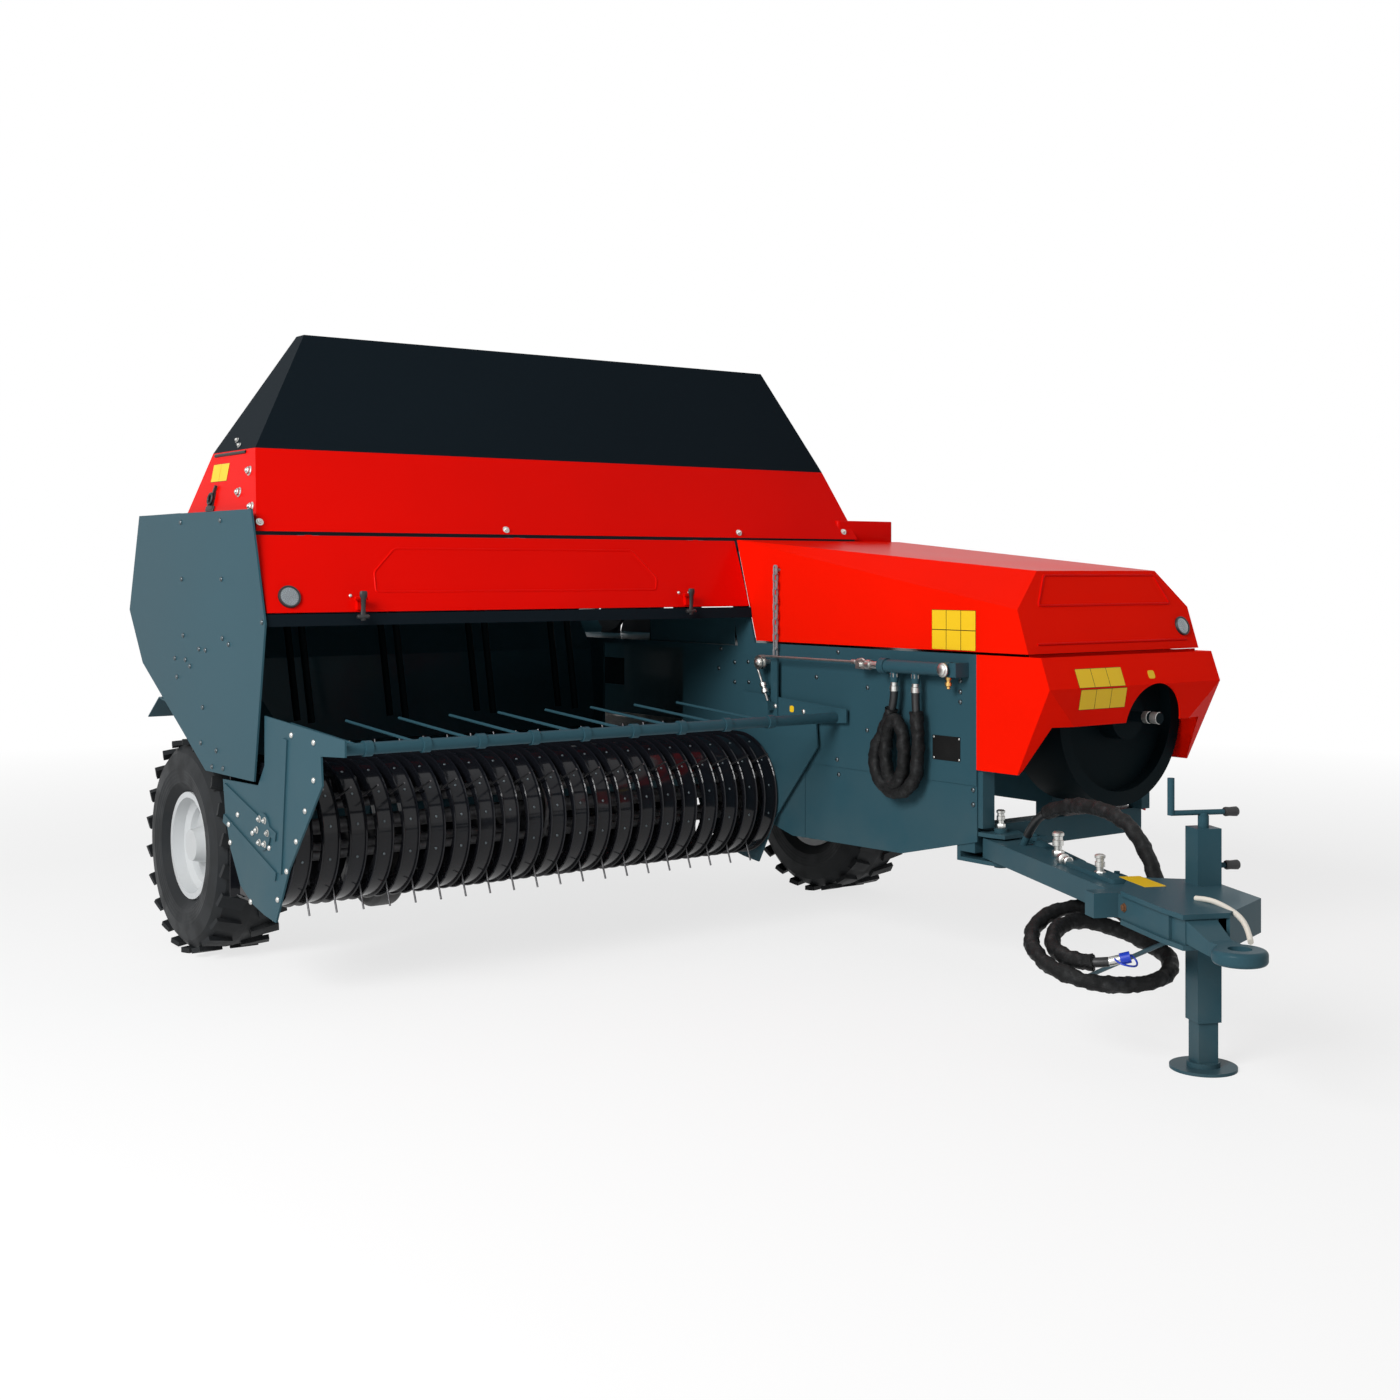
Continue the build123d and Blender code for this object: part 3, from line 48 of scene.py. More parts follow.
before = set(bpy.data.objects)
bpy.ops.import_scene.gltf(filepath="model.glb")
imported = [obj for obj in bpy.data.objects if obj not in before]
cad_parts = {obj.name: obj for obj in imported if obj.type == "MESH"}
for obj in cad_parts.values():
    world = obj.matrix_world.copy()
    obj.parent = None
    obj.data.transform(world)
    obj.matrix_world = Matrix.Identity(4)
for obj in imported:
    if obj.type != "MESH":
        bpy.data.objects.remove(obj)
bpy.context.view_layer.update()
MM = 0.001                         # the small pieces' sizes and places are in mm
# small pieces sit where a line meets a solid: the ways of lines to its right side, front and top,
# and where those lines start
RIGHT, FRONT, DOWN = (1, 0, 0), (0, 1, 0), (0, 0, -1)
FROM_RIGHT = -1500                 # x beside the machine
FROM_PICKUP = 300                  # x over the pickup, for what stands to the left of it
FROM_FRONT = -1600                 # y ahead of the covers
FROM_ABOVE = 800                   # z over the drawbar
BOLT = 0.017                       # width of a capped bolt over its flats, in metres


# ---------------------------------------------------------------- what a user may change
def colour(name, description, value):
    return FloatVectorProperty(name=name, description=description, subtype="COLOR", size=3, min=0, max=1,
                               default=value)


def length(name, description, value):
    return FloatProperty(name=name, description=description, unit="LENGTH", min=0, default=value)


class BalerPaints(bpy.types.PropertyGroup):
    """Colours of the baler's paints and small parts."""
    covers: colour("Covers", "Orange-red of the covers and hoods", (0.72, 0.003, 0.001))
    nose: colour("Nose", "Brighter orange of the nose's covers", (0.86, 0.008, 0.001))
    top_hood: colour("Top hood", "Satin black of the tall hood", (0.007, 0.0115, 0.0155))
    steelwork: colour("Steelwork", "Slate grey of panels, walls and drawbar", (0.028, 0.077, 0.1))
    pickup: colour("Pickup", "Near-black of the bands and rods", (0.007, 0.008, 0.011))
    rims: colour("Rims", "Silver of the wheel rims", (0.55, 0.57, 0.58))
    rubber: colour("Rubber", "Tyres", (0.014, 0.016, 0.018))
    plates: colour("Plates", "Blank yellow plates", (0.86, 0.55, 0.02))


class BalerSizes(bpy.types.PropertyGroup):
    """Sizes of the baler's small parts."""
    bolt: length("Bolt", "Width of the capped bolts over their flats", BOLT)


# ---------------------------------------------------------------- shader maths
class Value:
    """A shader socket that Python expressions work on."""

    def __init__(self, finish, socket):
        self.finish = finish
        self.socket = socket

    def _math(self, operation, first, second):
        node = self.finish.node("Math", {"operation": operation}, {0: first, 1: second})
        return node["Value"]

    def __add__(self, other):
        return self._math("ADD", self, other)

    def __radd__(self, other):
        return self._math("ADD", other, self)

    def __sub__(self, other):
        return self._math("SUBTRACT", self, other)

    def __rsub__(self, other):
        return self._math("SUBTRACT", other, self)

    def __mul__(self, other):
        return self._math("MULTIPLY", self, other)

    def __rmul__(self, other):
        return self._math("MULTIPLY", other, self)

    def __truediv__(self, other):
        return self._math("DIVIDE", self, other)

    def __pow__(self, other):
        return self._math("POWER", self, other)

class Outputs:
    """A node's outputs by name, as values."""

    def __init__(self, finish, node):
        self.finish = finish
        self.outputs = node.outputs

    def __getitem__(self, key):
        return Value(self.finish, self.outputs[key])


class Finish:
    """A material under construction. Patterns follow the piece's own coordinates."""

    def __init__(self, name):
        self.material = bpy.data.materials.new(name)
        self.material.use_nodes = True
        self.tree = self.material.node_tree
        self.shader = self.tree.nodes["Principled BSDF"]
        self.place = self.node("TexCoord", {}, {})["Object"]

    def node(self, kind, settings, inputs):
        node = self.tree.nodes.new("ShaderNode" + kind)
        for key, value in settings.items():
            if key == "stops":
                ramp = node.color_ramp
                for i, (at, shade) in enumerate(value):
                    stop = ramp.elements[i] if i < 2 else ramp.elements.new(at)
                    stop.position = at
                    stop.color = (shade, shade, shade, 1)
            else:
                setattr(node, key, value)
        for key, value in inputs.items():
            self.link(node, key, value)
        return Outputs(self, node)

    def link(self, node, key, value):
        if isinstance(value, Value):
            self.tree.links.new(value.socket, node.inputs[key])
        else:
            node.inputs[key].default_value = value

    def noise(self, scale, detail=4, place=None, rough=0.5):
        inputs = {"Vector": place or self.place, "Scale": scale, "Detail": detail, "Roughness": rough}
        return self.node("TexNoise", {}, inputs)["Fac"]

    def ramp(self, value, *stops):
        return self.node("ValToRGB", {"stops": stops}, {"Fac": value})["Color"]

    def mix(self, factor, first, second):
        def shade(v):
            return v if isinstance(v, Value) else (*v, 1)
        node = self.tree.nodes.new("ShaderNodeMix")
        node.data_type = "RGBA"
        self.link(node, 0, factor)
        self.link(node, 6, shade(first))
        self.link(node, 7, shade(second))
        return Value(self, node.outputs[2])

    def bump(self, height, strength, distance):
        return self.node("Bump", {}, {"Height": height, "Strength": strength, "Distance": distance})["Normal"]

    def surface(self, **inputs):
        for key, value in inputs.items():
            key = key.replace("_", " ")
            colour = isinstance(value, tuple) and len(value) == 3
            self.link(self.shader, key, (*value, 1) if colour else value)
        return self.material


def times(shade, factor):
    return tuple(min(1, c * factor) for c in shade)


def paint_finish(name, shade, roughness, coat, peel=0.05, dust=0.0, gloss=0.05):
    """Sprayed paint: slight orange peel, soft marks, and dust that lies thicker near the ground."""
    f = Finish(name)
    cloud = f.noise(1.7, 3)
    marks = f.ramp(f.noise(38, 6, rough=0.62), (0.66, 0), (0.8, 1))
    base = f.mix(cloud, times(shade, 0.9), times(shade, 1.08))
    height = f.node("SeparateXYZ", {}, {"Vector": f.place})["Z"]
    low = f.ramp(height, (0.0, 1), (0.75, 0))
    film = low * f.ramp(f.noise(7, 6), (0.35, 0), (0.75, 1)) * dust + marks * 0.01
    base = f.mix(film, base, (0.33, 0.27, 0.2))
    rough = roughness + marks * 0.06 + film * 0.4 + (cloud - 0.5) * 0.08
    fine = f.noise(420, 2)
    return f.surface(Base_Color=base, Roughness=rough, Specular_IOR_Level=gloss, Coat_Weight=coat,
                     Coat_Roughness=0.08, Normal=f.bump(fine, peel, 0.001))


def metal_finish(name, shade, roughness, streak=0.12):
    """Plated or bare steel, with a drawn grain and dull spots."""
    f = Finish(name)
    stretched = f.node("Mapping", {}, {"Vector": f.place, "Scale": (9, 2, 2)})["Vector"]
    grain = f.noise(80, 4, stretched)
    spots = f.ramp(f.noise(45, 5), (0.5, 0), (0.7, 1))
    base = f.mix(spots, times(shade, 1.08), times(shade, 0.72))
    return f.surface(Base_Color=base, Metallic=1.0, Roughness=roughness + grain * streak + spots * 0.12,
                     Normal=f.bump(grain, 0.06, 0.0006))


def rubber_finish(name, shade, centre):
    """Tyre rubber: faint moulded rings round the wheel's axis, and a little dust."""
    f = Finish(name)
    centred = f.node("Mapping", {}, {"Vector": f.place, "Location": (-centre[0], -centre[1], -centre[2])})
    split = f.node("SeparateXYZ", {}, {"Vector": centred["Vector"]})
    y, z = split["Y"], split["Z"]
    radius = (y * y + z * z) ** 0.5
    rings = f.node("Math", {"operation": "SINE"}, {0: radius * 520})["Value"]
    wall = f.ramp(radius, (0.2, 0), (0.215, 1), (0.262, 1), (0.272, 0))
    dirt = f.ramp(f.noise(14, 7), (0.42, 0), (0.7, 1))
    base = f.mix(dirt * 0.2, shade, (0.045, 0.043, 0.04))
    grit = f.noise(260, 3)
    return f.surface(Base_Color=base, Roughness=0.5 + dirt * 0.22, Specular_IOR_Level=0.14,
                     Normal=f.bump(rings * wall * 0.35 + grit * 0.25, 0.35, 0.0016))


def grip_finish(name, shade, roughness, scale=180, depth=0.3):
    """Moulded rubber or plastic with a fine grain."""
    f = Finish(name)
    grain = f.noise(scale, 4)
    patch = f.noise(9, 3)
    base = f.mix(patch, times(shade, 0.85), times(shade, 1.15))
    return f.surface(Base_Color=base, Roughness=roughness + (grain - 0.5) * 0.15,
                     Normal=f.bump(grain, depth, 0.0008))


def lens_finish(name, shade):
    """Moulded reflector lens: small prisms under a clear, glossy skin."""
    f = Finish(name)
    prisms = f.node("TexVoronoi", {}, {"Vector": f.place, "Scale": 260})["Distance"]
    base = f.mix(prisms, times(shade, 1.25), times(shade, 0.6))
    return f.surface(Base_Color=base, Metallic=0.6, Roughness=0.16 + prisms * 0.2, Coat_Weight=1.0,
                     Normal=f.bump(prisms, 0.3, 0.0012))


def sleeve_finish(name, shade):
    """Woven nylon sleeve: a fine cross weave, and creases that are glossier along their tops, with a painted
    highlight on the tops and painted shade between them.
    """
    f = Finish(name)
    weave = f.node("TexWave", {"bands_direction": "DIAGONAL"},
                   {"Vector": f.place, "Scale": 160, "Distortion": 2})
    creases = f.noise(34, 5, rough=0.6)
    # crease tops: a painted highlight where the creases are high, painted shade where they are low, and less
    # roughness on top
    tops = f.ramp(creases, (0.48, 0), (0.66, 1))
    base = f.mix(tops, times(shade, 0.6), times(shade, 1.9))
    height = weave["Fac"] * 0.12 + creases
    return f.surface(Base_Color=base, Roughness=0.62 - tops * 0.24, Specular_IOR_Level=0.2,
                     Normal=f.bump(height, 0.7, 0.006))


def floor_finish():
    """Pale studio floor that fades into the background away from the machine and keeps its shadow."""
    f = Finish("floor_white")
    split = f.node("SeparateXYZ", {}, {"Vector": f.place})
    x, y = split["X"], split["Y"]
    far = f.ramp((x * x + y * y) ** 0.5 / 10, (0.32, 0), (0.8, 1))
    path = f.node("LightPath", {}, {})
    shown = path["Is Camera Ray"] + path["Is Glossy Ray"] + path["Is Transmission Ray"]
    f.surface(Base_Color=(0.9, 0.9, 0.9), Roughness=0.8)
    white = f.tree.nodes.new("ShaderNodeEmission")
    blend = f.tree.nodes.new("ShaderNodeMixShader")
    f.link(blend, 0, shown * (0.74 + 0.26 * far))
    f.tree.links.new(f.shader.outputs[0], blend.inputs[1])
    f.tree.links.new(white.outputs[0], blend.inputs[2])
    f.tree.links.new(blend.outputs[0], f.tree.nodes["Material Output"].inputs[0])
    return f.material


def finishes(paints):
    shade = {k: tuple(getattr(paints, k)) for k in
             ("covers", "nose", "top_hood", "steelwork", "pickup", "rims", "rubber", "plates")}
    wheel = {side: [(a + b) / 2 for a, b in zip(*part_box(f"tyre_{side}"))] for side in ("right", "left")}
    return {
        "covers": paint_finish("covers_paint", shade["covers"], 0.3, 0.02, gloss=0.025),
        "nose": paint_finish("nose_paint", shade["nose"], 0.3, 0.01, gloss=0.012),
        "top_hood": paint_finish("top_hood_paint", shade["top_hood"], 0.42, 0.0, peel=0.12, gloss=0.008),
        "steelwork": paint_finish("steelwork_paint", shade["steelwork"], 0.36, 0.03, peel=0.08, dust=0.1,
                                  gloss=0.04),
        # painted shade: the slate paint darkened to a tenth, for parts inside the machine where shade falls
        "inside": paint_finish("inside_painted_shade", times(shade["steelwork"], 0.1), 0.55, 0.0, peel=0.08,
                               dust=0.05, gloss=0.03),
        "pickup": paint_finish("pickup_paint", shade["pickup"], 0.2, 0.35, dust=0.04),
        "rims": paint_finish("rim_paint", shade["rims"], 0.34, 0.2, peel=0.06, dust=0.12),
        "zinc": metal_finish("zinc_plate", (0.55, 0.55, 0.53), 0.32),
        "steel": metal_finish("worn_steel", (0.36, 0.35, 0.34), 0.42),
        "spring": metal_finish("spring_steel", (0.11, 0.11, 0.115), 0.38),
        "brass": metal_finish("brass", (0.70, 0.46, 0.16), 0.28),
        "cast": paint_finish("cast_paint", (0.05, 0.055, 0.06), 0.6, 0.0, peel=0.4, dust=0.3),
        "tyre_right": rubber_finish("tyre_right_rubber", shade["rubber"], wheel["right"]),
        "tyre_left": rubber_finish("tyre_left_rubber", shade["rubber"], wheel["left"]),
        "grip": grip_finish("handle_rubber", (0.012, 0.012, 0.013), 0.5),
        "plates": paint_finish("plate_film", shade["plates"], 0.38, 0.2, peel=0.03),
        "dark_film": paint_finish("dark_film", (0.012, 0.012, 0.012), 0.35, 0.2, peel=0.03),
        "dark_zinc": metal_finish("dark_zinc", (0.10, 0.12, 0.13), 0.3),
        "chain": paint_finish("chain_plating", (0.26, 0.27, 0.28), 0.34, 0.1, peel=0.1, dust=0.1),
        "rust": metal_finish("rusty_bolt", (0.22, 0.11, 0.06), 0.6),
        "lens": lens_finish("reflector_lens", (0.2, 0.23, 0.25)),
        "pale_plastic": grip_finish("pale_plastic", (0.72, 0.68, 0.6), 0.45, scale=90, depth=0.15),
        "blue_plastic": grip_finish("blue_plastic", (0.01, 0.045, 0.5), 0.35, scale=120, depth=0.15),
        "hose": grip_finish("hose_rubber", (0.012, 0.013, 0.014), 0.45, scale=240, depth=0.25),
        "sleeve": sleeve_finish("hose_sleeve", (0.008, 0.0085, 0.009)),
    }


made = {}                          # the materials by finish, which the first step fills
CAD_FINISH = {
    "covers": ("front_cover", "hood_lower", "drive_cover_left"),
    "nose": ("nose_hood", "nose_guard", "side_plate_left"),
    "top_hood": ("hood_upper", "intake_lip"),
    "steelwork": ("main_frame", "axle_frame", "chamber_wall_right", "chamber_wall_left", "chamber_roof",
                  "chamber_rails", "needle_yoke", "bale_chute", "side_panel_right", "feeder_shell",
                  "mudguard", "top_rails", "twine_box", "pickup_frame", "pickup_plate_right",
                  "pickup_plate_left", "pole", "tow_eye", "jack_sleeve", "jack_leg", "swing_barrel",
                  "lift_barrel", "windguard"),
    # painted shade on the feeder's forks and the flywheel
    "inside": ("feeder_forks", "flywheel"),
    "pickup": ("pickup_bands",),
    "rims": ("rim_right", "rim_left"),
    "steel": ("chamber_floor", "star_wheel", "lift_cable_run", "lift_cable_drop"),
    "zinc": ("tension_screws", "lift_rod", "lift_pulley", "swing_rod", "hose_plug"),
    "chain": ("lift_chain",),
    "spring": ("reel",),
    "cast": ("knotter_unit", "gearbox"),
    "grip": ("gauge_wheel",),
    "tyre_right": ("tyre_right",),
    "tyre_left": ("tyre_left",),
    "hose": ("hose_lift", "hose_drawbar", "hose_coil", "hose_tail"),
    "blue_plastic": ("hose_cap",),
}


class BALER_OT_finishes(bpy.types.Operator):
    """Gives every solid of the machine its paint, rubber or metal"""
    bl_idname = "baler.finishes"
    bl_label = "Finishes"

    def execute(self, context):
        made.update(finishes(context.scene.baler_paints))
        for finish, nodes in CAD_FINISH.items():
            for node in nodes:
                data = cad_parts[node].data
                data.materials.clear()
                data.materials.append(made[finish])
        left = [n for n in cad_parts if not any(n in v for v in CAD_FINISH.values())]
        if left:
            raise RuntimeError(f"no finish for {left}")
        return {"FINISHED"}


# ---------------------------------------------------------------- modelling
def deselect():
    bpy.ops.object.select_all(action="DESELECT")


def turned(name, rings, steps=16):
    """A turned or, with few steps, many-sided piece round the z axis; rings are (radius, height), upwards."""
    deselect()
    bpy.ops.mesh.primitive_circle_add(vertices=steps, radius=rings[0][0] * MM, fill_type="NGON",
                                      location=(0, 0, rings[0][1] * MM))
    piece = bpy.context.object
    piece.name = name
    bpy.ops.object.mode_set(mode="EDIT")
    for (r0, z0), (r1, z1) in zip(rings, rings[1:]):
        bpy.ops.mesh.extrude_region_move(TRANSFORM_OT_translate={"value": (0, 0, (z1 - z0) * MM)})
        bpy.ops.transform.resize(value=(r1 / r0, r1 / r0, 1), center_override=(0, 0, z1 * MM))
    return closed(piece, 42)


def closed(piece, angle):
    """Ends edit mode with faces outwards and only the sharp edges kept sharp."""
    bpy.ops.mesh.select_all(action="SELECT")
    bpy.ops.mesh.normals_make_consistent(inside=False)
    bpy.ops.object.mode_set(mode="OBJECT")
    bpy.ops.object.transform_apply(location=True, rotation=True, scale=True)
    bpy.ops.object.shade_smooth_by_angle(angle=radians(angle))
    return piece


def slab(name, width, height, thick, corner, cells=None):
    """A flat plate on the z = 0 plane with round corners. Cells are raised from it, in a second material."""
    deselect()
    bpy.ops.mesh.primitive_plane_add(size=1)
    piece = bpy.context.object
    piece.name = name
    piece.scale = (width * MM, height * MM, 1)
    bpy.ops.object.transform_apply(scale=True)
    bpy.ops.object.mode_set(mode="EDIT")
    bpy.ops.mesh.bevel(offset=corner * MM, segments=3, affect="VERTICES")
    bpy.ops.mesh.extrude_region_move(TRANSFORM_OT_translate={"value": (0, 0, thick * MM)})
    closed(piece, 35)
    if not cells:
        return piece
    columns, rows, gap = cells
    for column in range(columns):
        for row in range(rows):
            deselect()
            bpy.ops.mesh.primitive_plane_add(size=1)
            cell = bpy.context.object
            cell.scale = ((width / columns - gap) * MM, (height / rows - gap) * MM, 1)
            cell.location = (width * ((column + 0.5) / columns - 0.5) * MM,
                             height * ((row + 0.5) / rows - 0.5) * MM, thick * MM)
            bpy.ops.object.transform_apply(location=True, scale=True)
            bpy.ops.object.mode_set(mode="EDIT")
            bpy.ops.mesh.extrude_region_move(TRANSFORM_OT_translate={"value": (0, 0, 0.4 * MM)})
            closed(cell, 35)
            cell.data.materials.append(None)
            cell.data.materials.append(made["plates"])
            for face in cell.data.polygons:
                face.material_index = 1
            piece = joined(name, [piece, cell])
    return piece


def joined(name, parts):
    deselect()
    for part in parts:
        part.select_set(True)
    bpy.context.view_layer.objects.active = parts[0]
    bpy.ops.object.join()
    piece = bpy.context.object
    piece.name = name
    return piece


def place(at, facing, up=(0, 0, 1), size=1.0):
    """Where a piece's foot stands, in metres, and the way its z axis points; its y axis leans to up."""
    z = Vector(facing).normalized()
    y = Vector(up)
    y = (y - z * y.dot(z)).normalized()
    return Matrix.Translation(at) @ Matrix((y.cross(z), y, z)).transposed().to_4x4() @ Matrix.Scale(size, 4)


def copies(name, model, places):
    """One piece of a model's copies, one at each place; the model itself goes."""
    parts = []
    for at in places:
        copy = model.copy()
        copy.data = model.data.copy()
        bpy.context.collection.objects.link(copy)
        copy.data.transform(at)
        parts.append(copy)
    bpy.data.objects.remove(model)
    return joined(name, parts)


def touch(node, start, way, up=(0, 0, 1), size=1.0):
    """The place on a solid that a line from start, in mm, meets; a piece there faces off the surface."""
    hit, at, normal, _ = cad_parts[node].ray_cast(Vector(start) * MM, Vector(way))
    if not hit:
        raise RuntimeError(f"no {node} on the line from {start}")
    return place(at, normal, up, size)


def line(name, points, radius, order=3, ring=False, sides=3):
    """A round wire, cord or tube along a smooth spline; points are in mm."""
    deselect()
    bpy.ops.curve.primitive_nurbs_path_add()
    piece = bpy.context.object
    piece.name = name
    curve = piece.data
    curve.splines.clear()
    spline = curve.splines.new("NURBS")
    spline.points.add(len(points) - 1)
    for control, at in zip(spline.points, points):
        control.co = (*(Vector(at) * MM), 1)
    spline.use_cyclic_u = ring
    spline.order_u = order
    spline.use_endpoint_u = not ring
    curve.dimensions = "3D"
    curve.resolution_u = 10
    curve.bevel_depth = radius * MM
    curve.bevel_resolution = sides
    curve.use_fill_caps = not ring
    return piece


def to_mesh(piece):
    deselect()
    piece.select_set(True)
    bpy.context.view_layer.objects.active = piece
    bpy.ops.object.convert(target="MESH")
    return bpy.context.object


def fit(piece, body, finish):
    """Gives a piece its finish and the body that it moves with."""
    if not piece.data.materials:
        piece.data.materials.append(made[finish])
    piece.data.materials[0] = made[finish]
    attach(piece, body)
    return piece


# ---------------------------------------------------------------- the parked drawbar's own places
PIVOT = (515, -1060, 0)
PARKED = Matrix.Translation(Vector(PIVOT)) @ Matrix.Rotation(-radians(24.5), 4, "Z")
ALONG = PARKED.to_3x3() @ Vector((0, 1, 0))    # back along the drawbar, and across it
ACROSS = PARKED.to_3x3() @ Vector((1, 0, 0))


def on_drawbar(point):
    return tuple(PARKED @ Vector(point))


def over_drawbar(x, y, size=1.0):
    """The place on the drawbar's top over that x and y of its own."""
    return touch("pole", (*on_drawbar((x, y, 0))[:2], FROM_ABOVE), DOWN, ALONG, size)


# ---------------------------------------------------------------- hoses
HOSE = 26.0                        # outer diameter of each hose
SLEEVE = 21.0                      # radius of the fabric sleeve
COIL = (Matrix.Translation(Vector((0.8, -732, 291.3))) @ Matrix.Rotation(-radians(12), 4, "Z")
        @ Matrix.Rotation(radians(22), 4, "X"))
LIFT_X = 410                       # the lift cylinder's x


def on_coil(angle, radius, lift):
    a = radians(angle)
    return tuple(COIL @ Vector((radius * cos(a), radius * sin(a), lift)))


# the drawbar's hose as it lies: its arch, then its turns as (angle in degrees, radius, rise) on the coil
ARCH = [(21, -158, 491), (27, -198, 546), (48, -305, 592), (74, -415, 614), (100, -530, 612),
        (122, -625, 585), (140, -695, 515), (148, -722, 448), (159, -740, 396), (169, -749, 350),
        (176, -737, 311), (176, -706, 289), (168, -668, 289), (150, -634, 307), (124, -611, 332)]
TURNS = [(72, 180, 2), (98, 187, 0), (124, 193, -2), (150, 197, -4), (176, 199, -2), (202, 197, 0),
         (228, 193, 3), (254, 188, 3), (280, 184, 0), (306, 182, -6), (332, 177, -18), (358, 166, -31),
         (384, 149, -45), (410, 144, -41), (436, 141, -31), (462, 141, -15), (488, 141, -8), (514, 141, -2),
         (540, 142, 3), (562, 147, 12), (582, 150, 21), (601, 147, 31), (619, 138, 40)]
# the lift cylinder's hose as (y, z) in its plane, and the sleeve's fold inside that loop
LOOP = [(-700, 905), (-700, 850), (-657, 774), (-602, 688), (-614, 617), (-669, 571), (-741, 571),
        (-796, 617), (-808, 688), (-808, 770), (-797, 845), (-797, 905)]
FOLD_MIDDLE, FOLD_HALF = (-708, 700), (44, 104)
CAP_STRAP = ((14, -4, 8), (24, -16, -4), (6, -34, -16), (-30, -36, -10), (-44, -14, -4), (-36, 4, 2))
CREASE_SIZE, CREASE_DEPTH = 0.03, 0.014        # of the sleeve's creases, in metres


def sleeve(name, path, radius, seed, start=0, end=1, ring=False):
    """A creased fabric sleeve round a hose, from one share of the hose's length to another."""
    piece = line(name, path, radius, ring=ring, sides=5)
    piece.data.bevel_factor_mapping_start = "SPLINE"
    piece.data.bevel_factor_mapping_end = "SPLINE"
    piece.data.bevel_factor_start = start
    piece.data.bevel_factor_end = end
    piece.data.resolution_u = 16
    piece = to_mesh(piece)
    crease = bpy.data.textures.new(name, "CLOUDS")
    crease.noise_scale = CREASE_SIZE
    crease.noise_depth = 3
    crumple = piece.modifiers.new("creases", "DISPLACE")
    crumple.texture = crease
    crumple.texture_coords = "OBJECT"
    shift = bpy.data.objects.new(name + "_place", None)
    bpy.context.collection.objects.link(shift)
    shift.location = (seed, 0.3 * seed, 0)
    crumple.texture_coords_object = shift
    crumple.mid_level = 0.5
    crumple.strength = CREASE_DEPTH
    bpy.context.view_layer.update()
    bpy.ops.object.modifier_apply(modifier=crumple.name)
    bpy.data.objects.remove(shift)
    bpy.ops.object.shade_smooth()
    return piece


class BALER_OT_hoses(bpy.types.Operator):
    """Lays the sleeved hoses of the lift cylinder and of the drawbar, with the strap of the coupling's cap"""
    bl_idname = "baler.hoses"
    bl_label = "Hoses"

    def execute(self, context):
        route = [on_drawbar(p) for p in ARCH + [on_coil(*turn) for turn in TURNS]]
        hose = fit(line("drawbar_hose", route, HOSE / 2), "drawbar", "hose")
        cover = sleeve("drawbar_sleeve", route, SLEEVE, seed=0.0, start=0.05, end=0.985)
        fit(cover, "drawbar", "sleeve")
        low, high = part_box("hose_cap")
        middle = (low + high) / (2 * MM)
        strap = to_mesh(line("cap_strap", [middle + Vector(p) for p in CAP_STRAP], 2.6))
        fit(strap, "drawbar", "blue_plastic")
        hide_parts("hose_drawbar", "hose_coil", "hose_tail")
        route = [(LIFT_X, y, z) for y, z in LOOP]
        hose = fit(line("lift_hose", route, HOSE / 2), "chassis", "hose")
        fold = [(LIFT_X - 5, FOLD_MIDDLE[0] + FOLD_HALF[0] * cos(a), FOLD_MIDDLE[1] + FOLD_HALF[1] * sin(a))
                for a in (pi * k / 6 for k in range(12))]
        cover = joined("lift_sleeve", [sleeve("outer", route, SLEEVE, seed=0.7, start=0.09, end=0.91),
                                       sleeve("inner", fold, SLEEVE, seed=1.9, ring=True)])
        fit(cover, "chassis", "sleeve")
        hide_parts("hose_lift")
        return {"FINISHED"}


# ---------------------------------------------------------------- bolts
# places as (y, z) on a side and as (x, z) on the hood's front
WALL_BOLTS = ((-379, 1002), (-525, 891), (-523, 752), (-374, 643), (-268, 913), (-379, 593), (108, 949),
              (186, 944), (104, 877), (186, 873), (281, 918), (268, 990), (-949, 963), (-949, 935),
              (-949, 901), (-949, 870), (-1001, 605), (-1001, 560))
PANEL_BOLTS = ((773, 1430), (427, 1428), (763, 1246), (417, 1247), (749, 1064), (408, 1065), (357, 1048),
               (807, 927), (96, 1122), (591, 729), (495, 662), (402, 665), (607, 1025), (552, 1023),
               (825, 987), (729, 986), (689, 967), (575, 842), (458, 715))
PLATE_BOLTS = ((-88, 804), (-241, 795), (-241, 690), (-183, 598), (-122, 505), (-54, 411), (10, 320),
               (213, 283), (315, 532), (375, 496), (375, 440), (72, 462), (199, 490))
ARM_BOLTS = ((-77, 804), (-222, 794), (-353, 779))
HOOD_END_BOLTS = ((329, 1579), (381, 1515), (258, 1466))
HOOD_TOP_BOLTS = ((517, 1685), (471, 1666))
HOOD_FRONT_BOLTS = ((-1329, 1419), (-486, 1407), (480, 1410), (985, 1420))
FROM_COVER = -200                  # y of a line that starts between the cover and the hood's front
REEL = (115, 505)                  # the reel's axis, y and z
HUB_BOLTS = 6
HUB_BOLT_R = 40                    # radius of their circle round the axis
BAND_BOLT_RISES = (-20, 8, 36, 64)     # degrees over the level of the reel's axis
FROM_BANDS = 600                   # how far from that axis the lines to the bands start
SQUARE = 0.9                       # cosine of the angle within which a line meets a band squarely


def dome():
    return turned("dome", ((7.5, 0), (7.5, 1.6), (6.6, 3.6), (4.2, 5.2), (1.2, 5.8)), 12)


def capped_bolt(size):
    washer = turned("washer", ((12.5, 0), (12.5, 1.8), (11.6, 2.4)), 16)
    head = turned("head", ((9.4, 2.4), (9.4, 7.6), (7.8, 9.0)), 6)
    nub = turned("nub", ((5.0, 9.0), (4.6, 11.5), (3.6, 12.4)), 10)
    bolt = joined("bolt", [washer, head, nub])
    bolt.data.transform(Matrix.Scale(size / BOLT, 4))
    return bolt


